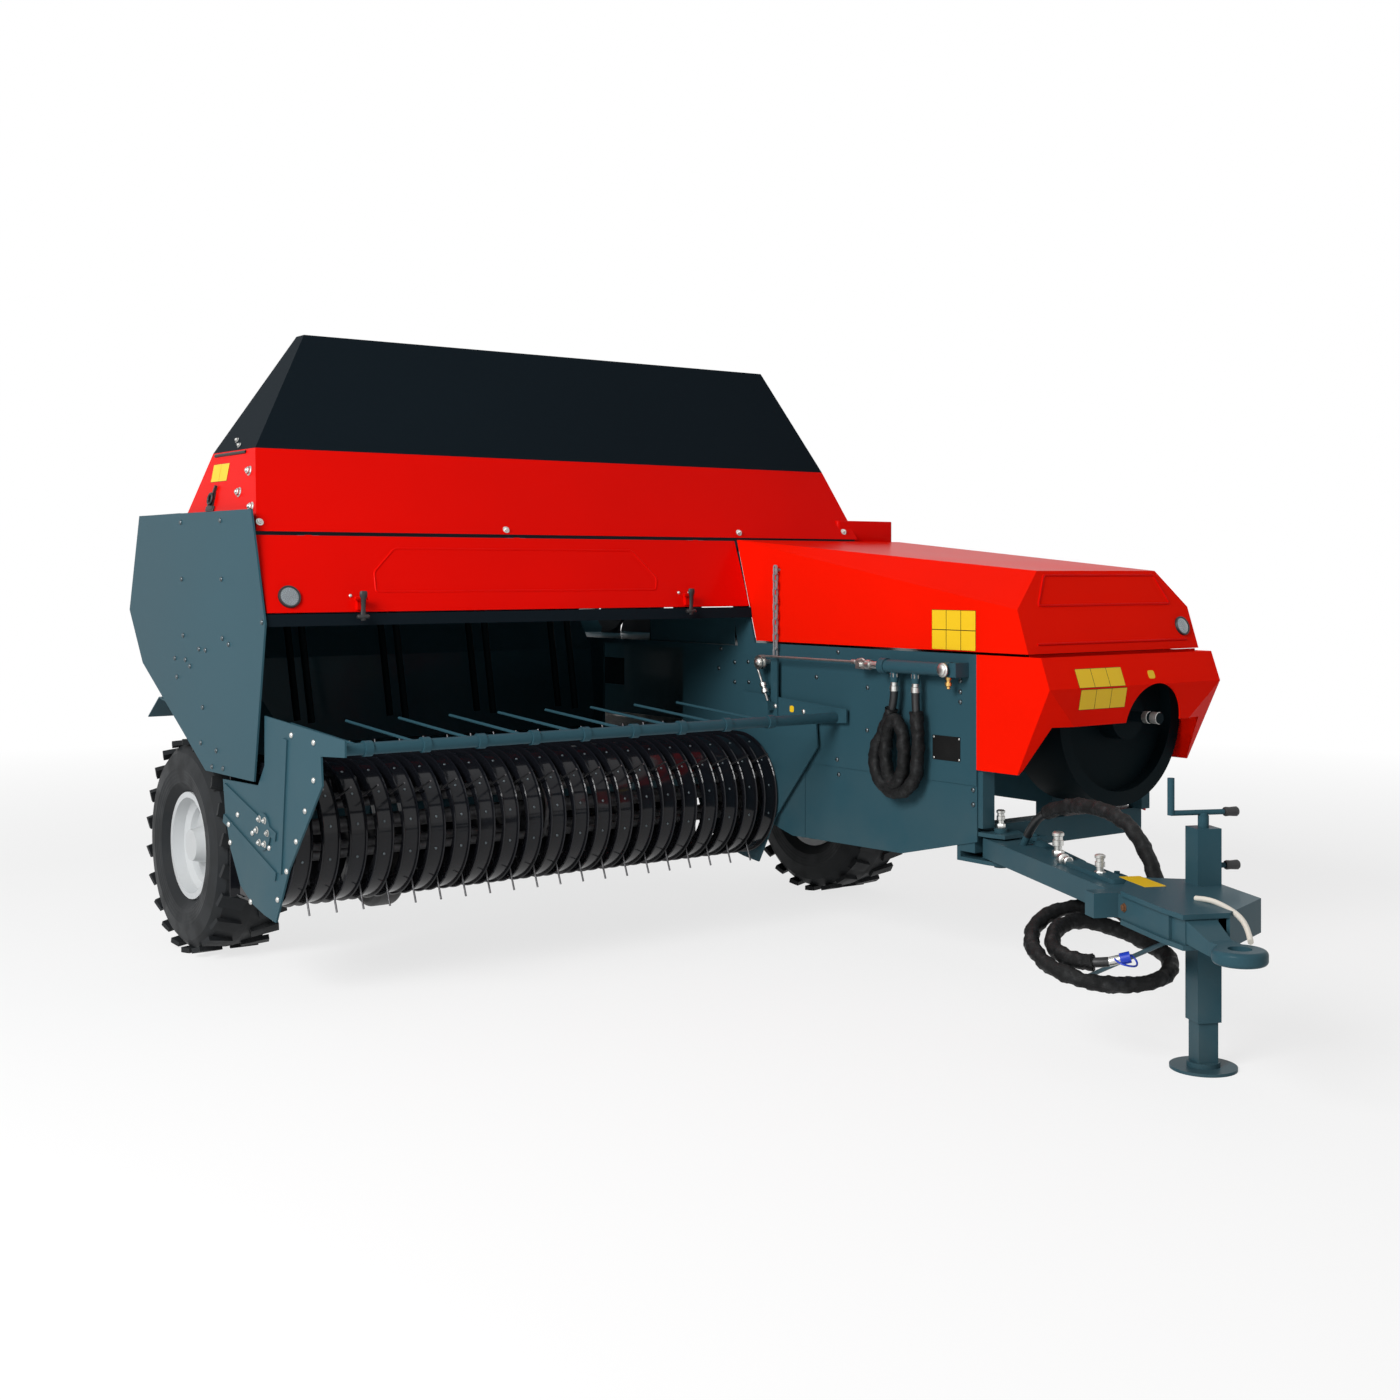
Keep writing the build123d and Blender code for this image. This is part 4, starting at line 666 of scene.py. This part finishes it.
class BALER_OT_bolts(bpy.types.Operator):
    """Sets the bolts and rivets that hold panels, plates, hood and bands"""
    bl_idname = "baler.bolts"
    bl_label = "Bolts"

    def execute(self, context):
        size = context.scene.baler_sizes.bolt
        walls = [touch("chamber_wall_right", (FROM_PICKUP, y, z), RIGHT) for y, z in WALL_BOLTS]
        fit(copies("wall_bolts", dome(), walls), "chassis", "dark_zinc")
        panel = [touch("side_panel_right", (FROM_RIGHT, y, z), RIGHT) for y, z in PANEL_BOLTS]
        fit(copies("panel_bolts", dome(), panel), "chassis", "dark_zinc")
        plate = [touch("pickup_plate_right", (FROM_RIGHT, y, z), RIGHT, size=1.15) for y, z in PLATE_BOLTS]
        plate += [touch("pickup_plate_left", (FROM_PICKUP, y, z), RIGHT, size=1.1) for y, z in ARM_BOLTS]
        fit(copies("pickup_bolts", dome(), plate), "pickup", "zinc")
        hood = [touch("hood_lower", (FROM_RIGHT, y, z), RIGHT, size=1.25) for y, z in HOOD_END_BOLTS]
        hood += [touch("hood_lower", (x, FROM_COVER, z), FRONT, size=0.95) for x, z in HOOD_FRONT_BOLTS]
        hood += [touch("hood_upper", (FROM_RIGHT, y, z), RIGHT, size=0.7) for y, z in HOOD_TOP_BOLTS]
        fit(copies("hood_bolts", capped_bolt(size), hood), "chassis", "zinc")
        ring = [(REEL[0] + HUB_BOLT_R * cos(a), REEL[1] + HUB_BOLT_R * sin(a))
                for a in (2 * pi * k / HUB_BOLTS for k in range(HUB_BOLTS))]
        hub = [touch("pickup_plate_right", (FROM_RIGHT, y, z), RIGHT, size=0.85) for y, z in ring]
        fit(copies("bearing_bolts", capped_bolt(size), hub), "pickup", "zinc")
        bands = []
        for x in band_middles():
            for rise in BAND_BOLT_RISES:
                a = radians(rise)
                start = Vector((x, REEL[0] - FROM_BANDS * cos(a), REEL[1] + FROM_BANDS * sin(a)))
                inward = Vector((0, cos(a), -sin(a)))
                hit, at, normal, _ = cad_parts["pickup_bands"].ray_cast(start * MM, inward)
                if hit and normal.dot(inward) < -SQUARE:
                    bands.append(place(at, normal, RIGHT, 0.6))
        fit(copies("band_bolts", dome(), bands), "pickup", "dark_zinc")
        return {"FINISHED"}


# ---------------------------------------------------------------- pickup bands
BANDS = 21
BAND_FIRST = -1312.85              # x of the first band's middle
BAND_PITCH = 85.7
BEND = (125, 489)                  # centre of the bands' bend, y and z
BEND_R = 202
BEND_STEPS = 28
BAND_ENDS = (355, 325)             # y of a band's upper and lower rear ends
FLANGE = 26                        # how far a flange's inner edge lies over or under its band
FLANGE_OFFSET = 27                 # from a band's middle
FLANGE_WALL = 0.002


def band_middles():
    return [BAND_FIRST + BAND_PITCH * k for k in range(BANDS)]


class BALER_OT_bands(bpy.types.Operator):
    """Turns the edges of each stripper band in, as deep flanges round the reel"""
    bl_idname = "baler.bands"
    bl_label = "Band flanges"

    def execute(self, context):
        deselect()
        bpy.ops.mesh.primitive_plane_add(size=1)
        flange = context.object
        flange.name = "flange"
        rows = [(BAND_ENDS[0], BEND[1] + BEND_R)]
        rows += [(BEND[0] - BEND_R * sin(a), BEND[1] + BEND_R * cos(a))
                 for a in (pi * k / BEND_STEPS for k in range(BEND_STEPS + 1))]
        rows += [(BAND_ENDS[1], BEND[1] - BEND_R)]
        points = []
        for y, z in rows:
            inwards = (z < BEND[1]) - (z > BEND[1])
            points += [(0, y * MM, z * MM), (0, y * MM, (z + inwards * FLANGE) * MM)]
        faces = [(2 * k, 2 * k + 1, 2 * k + 3, 2 * k + 2) for k in range(len(rows) - 1)]
        flange.data.clear_geometry()
        flange.data.from_pydata(points, [], faces)
        places = [Matrix.Translation(((x + side) * MM, 0, 0)) for x in band_middles()
                  for side in (-FLANGE_OFFSET, FLANGE_OFFSET)]
        piece = copies("band_flanges", flange, places)
        wall = piece.modifiers.new("wall", "SOLIDIFY")
        wall.thickness = FLANGE_WALL
        wall.offset = 0
        bpy.ops.object.modifier_apply(modifier=wall.name)
        fit(piece, "pickup", "pickup")
        return {"FINISHED"}


# ---------------------------------------------------------------- plates
# a patch's name, body, solid, the line that finds its place, its size, and its cells: columns, rows, gap
PATCHES = (
    ("nose_patch", "nose", "nose_hood", (200, -919, 1090), RIGHT, (190, 124), (3, 2, 2.5)),
    ("guard_patch_top", "chassis", "nose_guard", (687, FROM_FRONT, 954), FRONT, (206, 60), (3, 1, 2.5)),
    ("guard_patch_low", "chassis", "nose_guard", (695, FROM_FRONT, 891), FRONT, (206, 62), (3, 1, 2.5)),
    ("hood_patch", "chassis", "hood_lower", (FROM_RIGHT, 574, 1584), RIGHT, (134, 58), (2, 1, 2)))
HEAD_PATCH = (55, -830)            # x and y along the drawbar
DATA_PLATE = (-888, 723)           # its middle, y and z
DATA_RIVETS = (55, 32)             # from that middle to each rivet


class BALER_OT_plates(bpy.types.Operator):
    """Puts the blank plates and blank yellow patches on"""
    bl_idname = "baler.plates"
    bl_label = "Plates"

    def execute(self, context):
        for name, body, node, start, way, size, cells in PATCHES:
            patch = slab(name, *size, 0.5, 2, cells)
            patch.data.transform(touch(node, start, way))
            fit(patch, body, "dark_film")
        small = slab("spot_patch", 22, 22, 0.7, 6)
        spots = [touch("pickup_plate_left", (FROM_PICKUP, -158, 799), RIGHT)]
        fit(copies("arm_patch", small, spots), "pickup", "plates")
        small = slab("spot_patch", 30, 26, 0.7, 7)
        spots = [touch("nose_guard", (922, FROM_FRONT, 955), FRONT)]
        fit(copies("guard_spot", small, spots), "chassis", "plates")
        head = slab("head_patch", 60, 150, 0.7, 3)
        fit(copies("head_patch", head, [over_drawbar(*HEAD_PATCH)]), "drawbar", "plates")
        plate = slab("data_plate", 121, 76, 1.2, 3)
        y, z = DATA_PLATE
        plate.data.transform(touch("chamber_wall_right", (FROM_PICKUP, y, z), RIGHT))
        fit(plate, "chassis", "dark_film")
        rivets = [touch("chamber_wall_right", (FROM_PICKUP, y + dy, z + dz), RIGHT, size=0.5)
                  for dy in (-DATA_RIVETS[0], DATA_RIVETS[0]) for dz in (-DATA_RIVETS[1], DATA_RIVETS[1])]
        fit(copies("plate_rivets", dome(), rivets), "chassis", "zinc")
        return {"FINISHED"}


# ---------------------------------------------------------------- covers
def rounded(corners, distance):
    """Corners of a closed outline, each with a point before and after it, so that a spline rounds them."""
    points = []
    for before, corner, after in zip(corners[-1:] + corners[:-1], corners, corners[1:] + corners[:1]):
        before, corner, after = Vector(before), Vector(corner), Vector(after)
        points += [corner + (before - corner).normalized() * distance, corner,
                   corner + (after - corner).normalized() * distance]
    return points


def seen(node, x, z):
    """The point of a cover's front face at that x and z, in mm."""
    return tuple(touch(node, (x, FROM_FRONT, z), FRONT).translation / MM)


# the beads' corners and the reflectors as (x, z) on the front
COVER_BEAD = ((-904, 1344), (-985, 1272), (-990, 1210), (58, 1210), (71, 1250), (-10, 1344))
NOSE_BEAD = ((600, 1259), (548, 1168), (1158, 1168), (1110, 1259))
NOSE_LOW_BEAD = ((505, 1054), (850, 1054), (1195, 1054))
COVER_BEAD_R, NOSE_BEAD_R = 4.5, 4
REFLECTORS = (("nose_reflector", "nose", "nose_hood", 1190, 1096, 0.85),
              ("cover_reflector", "cover", "front_cover", -1275, 1195, 0.95))
LATCHES = (-1056, 172)             # x of each latch
LATCH_TOP = (65, 1204)             # y and z of a latch's upper end
LID_RISE = 80
LID_EDGE = 6                       # roundness of the lid's edges
CLIP_RING = (17, 4.5)              # radius of the clip's ring and of its wire


class BALER_OT_covers(bpy.types.Operator):
    """Adds the covers' pressed beads, lid, reflectors and rubber latches, the hood's clip, and a dark rod of
    painted shade for the hood's slot
    """
    bl_idname = "baler.covers"
    bl_label = "Covers"

    def execute(self, context):
        outline = [seen("front_cover", x, z) for x, z in COVER_BEAD]
        bead = to_mesh(line("cover_bead", rounded(outline, 22), COVER_BEAD_R, ring=True))
        bead.data.transform(Matrix.Translation((0, 0.0012, -0.0028)))
        fit(bead, "cover", "covers")
        outline = [seen("nose_hood", x, z) for x, z in NOSE_BEAD]
        bead = to_mesh(line("nose_bead", rounded(outline, 20), NOSE_BEAD_R, ring=True))
        fit(bead, "nose", "covers")
        low = line("nose_low_bead", [seen("nose_hood", x, z) for x, z in NOSE_LOW_BEAD], NOSE_BEAD_R)
        fit(to_mesh(low), "nose", "covers")

        rim = ((37, 0), (37, 6), (35, 8.5), (31.5, 8.5), (31, 5))
        lens = ((31.4, 1), (31.4, 6), (28, 7.6), (20, 9.4), (10, 10.4), (2, 10.8))
        for name, body, node, x, z, size in REFLECTORS:
            where = touch(node, (x, FROM_FRONT, z), FRONT, size=size)
            fit(copies(name + "_rim", turned("rim", rim, 32), [where]), body, "grip")
            fit(copies(name, turned("lens", lens, 32), [where]), body, "lens")

        # the hood's slot is not cut: a dark rod along it is painted shade
        ends = [touch("hood_lower", (FROM_RIGHT, y, 1641), RIGHT).translation / MM for y in (642, 388)]
        fit(to_mesh(line("hood_slot_shade", ends, 5.5)), "chassis", "dark_film")

        latches, rivets = [], []
        for x in LATCHES:
            latches.append(place(Vector((x, *LATCH_TOP)) * MM, (0, 0.02, -1), FRONT))
            rivets += [touch("front_cover", (x + side, FROM_FRONT, 1197), FRONT, size=0.75)
                       for side in (-22, 22)]
        strap = turned("strap", ((10, -8), (13, -4), (13, 8), (8.5, 16), (7.5, 50), (9.5, 62), (10.5, 76),
                                 (7, 82)), 12)
        strap.data.transform(Matrix.Diagonal((1, 0.55, 1, 1)))
        handle = turned("handle", ((5, -20), (7, -17), (7, 17), (5, 20)), 12)
        handle.data.transform(Matrix.Translation((0, 0, 0.070)) @ Matrix.Rotation(pi / 2, 4, "Y"))
        fit(copies("latches", joined("latch", [strap, handle]), latches), "cover", "grip")
        fit(copies("latch_rivets", dome(), rivets), "cover", "zinc")

        low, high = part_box("drive_cover_left")
        width, depth = (high.x - low.x) / MM, (high.y - low.y) / MM
        lid = slab("drive_cover_lid", width - 2, depth - 14, LID_RISE, 12)
        bpy.ops.object.mode_set(mode="EDIT")
        bpy.ops.mesh.select_all(action="SELECT")
        bpy.ops.mesh.bevel(offset=LID_EDGE * MM, segments=2, affect="EDGES", clamp_overlap=True)
        closed(lid, 35)
        middle = (low + high) / 2
        lid.data.transform(Matrix.Translation((middle.x, middle.y + 0.005, high.z - 0.001)))
        fit(lid, "chassis", "covers")

        foot = slab("foot", 70, 16, 4, 3)
        back = slab("back", 46, 56, 5, 6)
        back.data.transform(Matrix.Translation((0, 0.024, 0)))
        deselect()
        bpy.ops.mesh.primitive_torus_add(major_radius=CLIP_RING[0] * MM, minor_radius=CLIP_RING[1] * MM,
                                         major_segments=20, minor_segments=8, location=(0.004, 0.03, 0.009))
        ring = bpy.context.object
        bpy.ops.object.transform_apply(location=True)
        bpy.ops.object.shade_smooth()
        finger = slab("finger", 9, 34, 7, 3)
        finger.data.transform(Matrix.Translation((0.018, 0.058, 0.002)) @ Matrix.Rotation(-0.3, 4, "Z"))
        clip = joined("hood_clip", [foot, back, ring, finger])
        clip.data.transform(touch("hood_lower", (FROM_RIGHT, 600, 1470), RIGHT))
        fit(clip, "chassis", "grip")
        return {"FINISHED"}


# ---------------------------------------------------------------- closing sheets
# a sheet's name, its two corners, body, finish and slot
SHEETS = (
    # the reel's back sheet and the chamber's roof and window sheets are dark sheets of painted shade behind
    # the gaps
    ("reel_back_shade_sheet", (-1344, 398, 268), (435, 401, 470), "pickup", "pickup", "dark_gloss"),
    ("roof_back_shade_sheet", (464, 735, 1005), (954, 738, 1104), "chassis", "inside", "slate_paint"),
    ("wall_top_plate", (464, 200, 1005.5), (467, 733, 1104), "chassis", "steelwork", "slate_paint"),
    ("wall_window_shade_sheet", (961.5, 1620, 745), (964.5, 1910, 905), "chassis", "inside", "slate_paint"),
    ("nose_joint_sheet", (470, -1218, 990), (1240, -1215, 1024), "chassis", "nose", "orange_paint"))
SHEET_EDGE = 0.8                   # width of their bevelled edges
STUB = ((14, 0), (18.6, 1), (18.6, 20), (16, 22), (16, 30), (18.6, 32), (18.6, 56), (16, 58.5))
STUB_START = 59                    # from the flywheel's front face back to the stub's foot


class BALER_OT_sheets(bpy.types.Operator):
    """Closes the gaps of the pickup, the chamber and the nose with thin sheets, the dark ones as painted
    shade, and adds the drive's stub
    """
    bl_idname = "baler.sheets"
    bl_label = "Closing sheets"

    def execute(self, context):
        for name, low, high, body, finish, slot in SHEETS:
            low, high = Vector(low), Vector(high)
            deselect()
            bpy.ops.mesh.primitive_cube_add(size=MM, location=(low + high) / 2 * MM, scale=high - low)
            sheet = bpy.context.object
            sheet.name = name
            bpy.ops.object.transform_apply(location=True, rotation=True, scale=True)
            bpy.ops.object.mode_set(mode="EDIT")
            bpy.ops.mesh.select_all(action="SELECT")
            bpy.ops.mesh.bevel(offset=SHEET_EDGE * MM, segments=1, affect="EDGES")
            fit(closed(sheet, 30), body, finish)
        low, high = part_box("flywheel")
        foot = Vector(((low.x + high.x) / 2, low.y + STUB_START * MM, (low.z + high.z) / 2))
        stub = copies("shaft_stub", turned("shaft_stub", STUB, 24), [place(foot, (0, -1, 0))])
        fit(stub, "flywheel", "zinc")
        return {"FINISHED"}


# ---------------------------------------------------------------- pickup lift
PORTS = (-700, -797)               # y of the lift cylinder's two ports
BARREL_PIN = (-943, 970)           # y and z
CABLE_EYE = ((0, 0, 4), (0, -26, 14), (0, -46, 4), (0, -50, -10), (0, -34, -20), (0, -14, -12), (0, 0, -4))


class BALER_OT_lift(bpy.types.Operator):
    """Dresses the lift cylinder and its cable with fittings, ferrules and pins"""
    bl_idname = "baler.lift"
    bl_label = "Lift fittings"

    def execute(self, context):
        nut = turned("nut", ((11, 0), (12.5, 1.5), (12.5, 12), (11, 13.5)), 6)
        collar = turned("collar", ((9, 13.5), (9, 26), (10.5, 27), (10.5, 36), (13.2, 38), (13.2, 52)), 16)
        fitting = joined("fitting", [nut, collar])
        ports = [place(Vector((LIFT_X, y, 950)) * MM, DOWN, FRONT, 1.12) for y in PORTS]
        fit(copies("port_fittings", fitting, ports), "chassis", "zinc")
        brass = turned("brass", ((10, 0), (10, 8), (7, 9), (7, 16), (11, 17), (11, 27), (6, 30), (6, 36),
                                 (3, 38)), 12)
        brass = copies("bleed_fitting", brass, [place(Vector((LIFT_X, -942, 948)) * MM, DOWN, FRONT)])
        fit(brass, "chassis", "brass")
        cap = turned("cap", ((22, 0), (22, 4), (17, 6), (17, 10), (14, 12), (6, 13)), 24)
        ends = [touch("lift_barrel", (FROM_PICKUP, *BARREL_PIN), RIGHT)]
        fit(copies("barrel_pin", cap, ends), "chassis", "zinc")
        low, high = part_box("lift_pulley")
        hub = [place((low.x - 0.0005, (low.y + high.y) / 2, (low.z + high.z) / 2), (-1, 0, 0), size=0.72)]
        cap = turned("cap", ((22, 0), (22, 4), (17, 6), (14, 12), (9, 13), (8, 18), (5, 19)), 20)
        fit(copies("pulley_pin", cap, hub), "chassis", "zinc")
        low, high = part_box("lift_cable_drop")
        foot = Vector(((low.x + high.x) / 2, low.y + 0.004, low.z))
        along = (Vector((foot.x, high.y, high.z)) - foot).normalized()
        clamp = turned("clamp", ((8, 0), (11, 2), (11, 12), (8, 14), (6.5, 16), (6.5, 20), (11, 22), (11, 32),
                                 (8, 34)), 14)
        clamp = copies("cable_ferrules", clamp, [place(foot + along * 0.030, along, RIGHT, 1.15)])
        fit(clamp, "chassis", "zinc")
        low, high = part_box("lift_cable_run")
        clamp = turned("clamp", ((5, 0), (7.5, 2), (7.5, 20), (5, 22)), 12)
        middle = Vector(((low.x + high.x) / 2, low.y + 0.012, (low.z + high.z) / 2))
        eye = to_mesh(line("cable_eye", [middle / MM + Vector(p) for p in CABLE_EYE], 3.5))
        eye = joined("cable_eye", [eye, copies("clamps", clamp, [place(middle, FRONT, RIGHT)])])
        fit(eye, "lift_rod", "zinc")
        return {"FINISHED"}


# ---------------------------------------------------------------- drawbar
# places on the drawbar before it is swung round its pivot
DRAWBAR_PINS = ((30, -357, 0.95), (7, -682, 0.8))      # x, y and size
SIDE_COUPLING = (-2, -452, 472)
LINK = (14, -640)
JACK_GRIPS = ((252, -891, 655), (255, -891, 518))
EYE_STRAP = ((70, -1085, 475), (84, -1125, 480), (92, -1190, 474), (90, -1262, 464), (72, -1330, 447),
             (48, -1382, 432))
SOCKET_BOLT = ((-300, -2056, 431), (0.92, 0.38, 0))    # where the line to it starts, and its way


class BALER_OT_drawbar(bpy.types.Operator):
    """Adds the drawbar's couplings, link, strap and grips"""
    bl_idname = "baler.drawbar"
    bl_label = "Drawbar fittings"

    def execute(self, context):
        nut = turned("nut", ((17, 0), (19, 2), (19, 18), (17, 20)), 6)
        stem = turned("stem", ((12, 20), (12, 34), (17, 35), (17, 50), (14, 52), (14, 62), (18, 64), (18, 72),
                               (12, 76)), 18)
        pin = joined("coupling", [nut, stem])
        tops = [over_drawbar(*at) for at in DRAWBAR_PINS]
        pivot = pin.copy()
        pivot.data = pin.data.copy()
        fit(copies("drawbar_pins", pin, tops), "drawbar", "zinc")
        over = touch("main_frame", (*PIVOT[:2], FROM_ABOVE), DOWN, ALONG, 0.75)
        fit(copies("pivot_pin", pivot, [over]), "chassis", "zinc")
        knob = turned("knob", ((15, 0), (19, 3), (19, 24), (15, 28), (9, 29), (9, 44), (15, 45), (15, 56),
                               (11, 60)), 16)
        where = place(Vector(on_drawbar(SIDE_COUPLING)) * MM, -ALONG, size=0.9)
        knob = copies("side_coupling", knob, [where])
        fit(knob, "drawbar", "zinc")
        plate = slab("link", 52, 300, 12, 12)
        plate.data.transform(Matrix.Translation((0, 0, 0.0005)))
        fit(copies("drawbar_link", plate, [over_drawbar(*LINK)]), "drawbar", "steelwork")
        brown = turned("bolt", ((12, 0), (12, 2), (9, 3), (9, 7), (7, 8)), 6)
        fit(copies("socket_bolt", brown, [touch("pole", *SOCKET_BOLT)]), "drawbar", "rust")
        strap = to_mesh(line("eye_strap", [on_drawbar(p) for p in EYE_STRAP], 7, sides=2))
        fit(strap, "drawbar", "pale_plastic")
        grip = turned("grip", ((6, -2), (11, 0), (12.4, 4), (11.6, 14), (12.4, 26), (12.8, 34), (10, 38),
                               (4, 40)), 16)
        grips = [place(Vector(on_drawbar(at)) * MM, ACROSS) for at in JACK_GRIPS]
        fit(copies("jack_grips", grip, grips), "drawbar", "grip")
        return {"FINISHED"}


# ---------------------------------------------------------------- stage
# a lamp's name, energy, size, place and what it points at, in metres
LAMPS = (
    ("key", 520, 3.0, (-6.3, -2.7, 4.3), (-0.2, -0.4, 0.8)),
    ("fill", 16, 4.0, (3.5, -6.5, 3.0), (0.3, -0.6, 0.8)),
    ("top", 14, 5.0, (0, 0.8, 6.5), (0, 0.2, 0.8)))
WORLD_LIGHT, WORLD_SEEN = 0.25, 1.0    # the background's strength as light, and as seen or mirrored
CAMERA = (-3.345, -4.750, 1.273)
CAMERA_TURN = radians(36.43)       # from straight back towards the machine's left
LENS, SENSOR, LENS_SHIFT = 44.5, 36, -0.0923


class BALER_OT_stage(bpy.types.Operator):
    """Lays the pale floor and sets the lamps, the bright surroundings and the camera"""
    bl_idname = "baler.stage"
    bl_label = "Stage"

    def execute(self, context):
        deselect()
        bpy.ops.mesh.primitive_plane_add(size=60)
        floor = context.object
        floor.name = "floor"
        floor.data.materials.append(floor_finish())
        world = bpy.data.worlds.new("studio")
        world.use_nodes = True
        context.scene.world = world
        nodes, links = world.node_tree.nodes, world.node_tree.links
        back = nodes["Background"]
        path = nodes.new("ShaderNodeLightPath")
        shown = nodes.new("ShaderNodeMath")
        shown.operation = "MAXIMUM"
        links.new(path.outputs["Is Camera Ray"], shown.inputs[0])
        links.new(path.outputs["Is Glossy Ray"], shown.inputs[1])
        mix = nodes.new("ShaderNodeMix")
        links.new(shown.outputs[0], mix.inputs[0])
        mix.inputs[2].default_value = WORLD_LIGHT
        mix.inputs[3].default_value = WORLD_SEEN
        links.new(mix.outputs[0], back.inputs["Strength"])
        back.inputs["Color"].default_value = (1, 1, 1, 1)
        for name, energy, size, spot, aim in LAMPS:
            bpy.ops.object.light_add(type="AREA", location=spot)
            lamp = context.object
            lamp.name = name
            lamp.data.energy = energy
            lamp.data.size = size
            lamp.rotation_euler = (Vector(aim) - Vector(spot)).to_track_quat("-Z", "Y").to_euler()
        bpy.ops.object.camera_add(location=CAMERA, rotation=(pi / 2, 0, -CAMERA_TURN))
        camera = context.object
        camera.data.sensor_width = SENSOR
        camera.data.lens = LENS
        camera.data.shift_y = LENS_SHIFT
        context.scene.camera = camera
        context.scene.view_settings.view_transform = "Standard"
        return {"FINISHED"}


# ---------------------------------------------------------------- the add-on
STEPS = (BALER_OT_finishes, BALER_OT_stage, BALER_OT_hoses, BALER_OT_bands, BALER_OT_bolts, BALER_OT_plates,
         BALER_OT_covers, BALER_OT_sheets, BALER_OT_lift, BALER_OT_drawbar)
CLASSES = (BalerPaints, BalerSizes, *STEPS)


class BALER_PT_panel(bpy.types.Panel):
    """The baler's steps, sizes and colours"""
    bl_label = "Square baler"
    bl_idname = "BALER_PT_panel"
    bl_space_type = "VIEW_3D"
    bl_region_type = "UI"
    bl_category = "Baler"

    def draw(self, context):
        for step in STEPS:
            self.layout.operator(step.bl_idname)
        for group in (context.scene.baler_paints, context.scene.baler_sizes):
            for key in group.__annotations__:
                self.layout.prop(group, key)


def register():
    for item in (*CLASSES, BALER_PT_panel):
        bpy.utils.register_class(item)
    bpy.types.Scene.baler_paints = PointerProperty(type=BalerPaints)
    bpy.types.Scene.baler_sizes = PointerProperty(type=BalerSizes)


def unregister():
    del bpy.types.Scene.baler_sizes
    del bpy.types.Scene.baler_paints
    for item in reversed((*CLASSES, BALER_PT_panel)):
        bpy.utils.unregister_class(item)


def main():
    register()
    for step in STEPS:
        group, name = step.bl_idname.split(".")
        getattr(getattr(bpy.ops, group), name)()


if __name__ == "__main__":
    main()
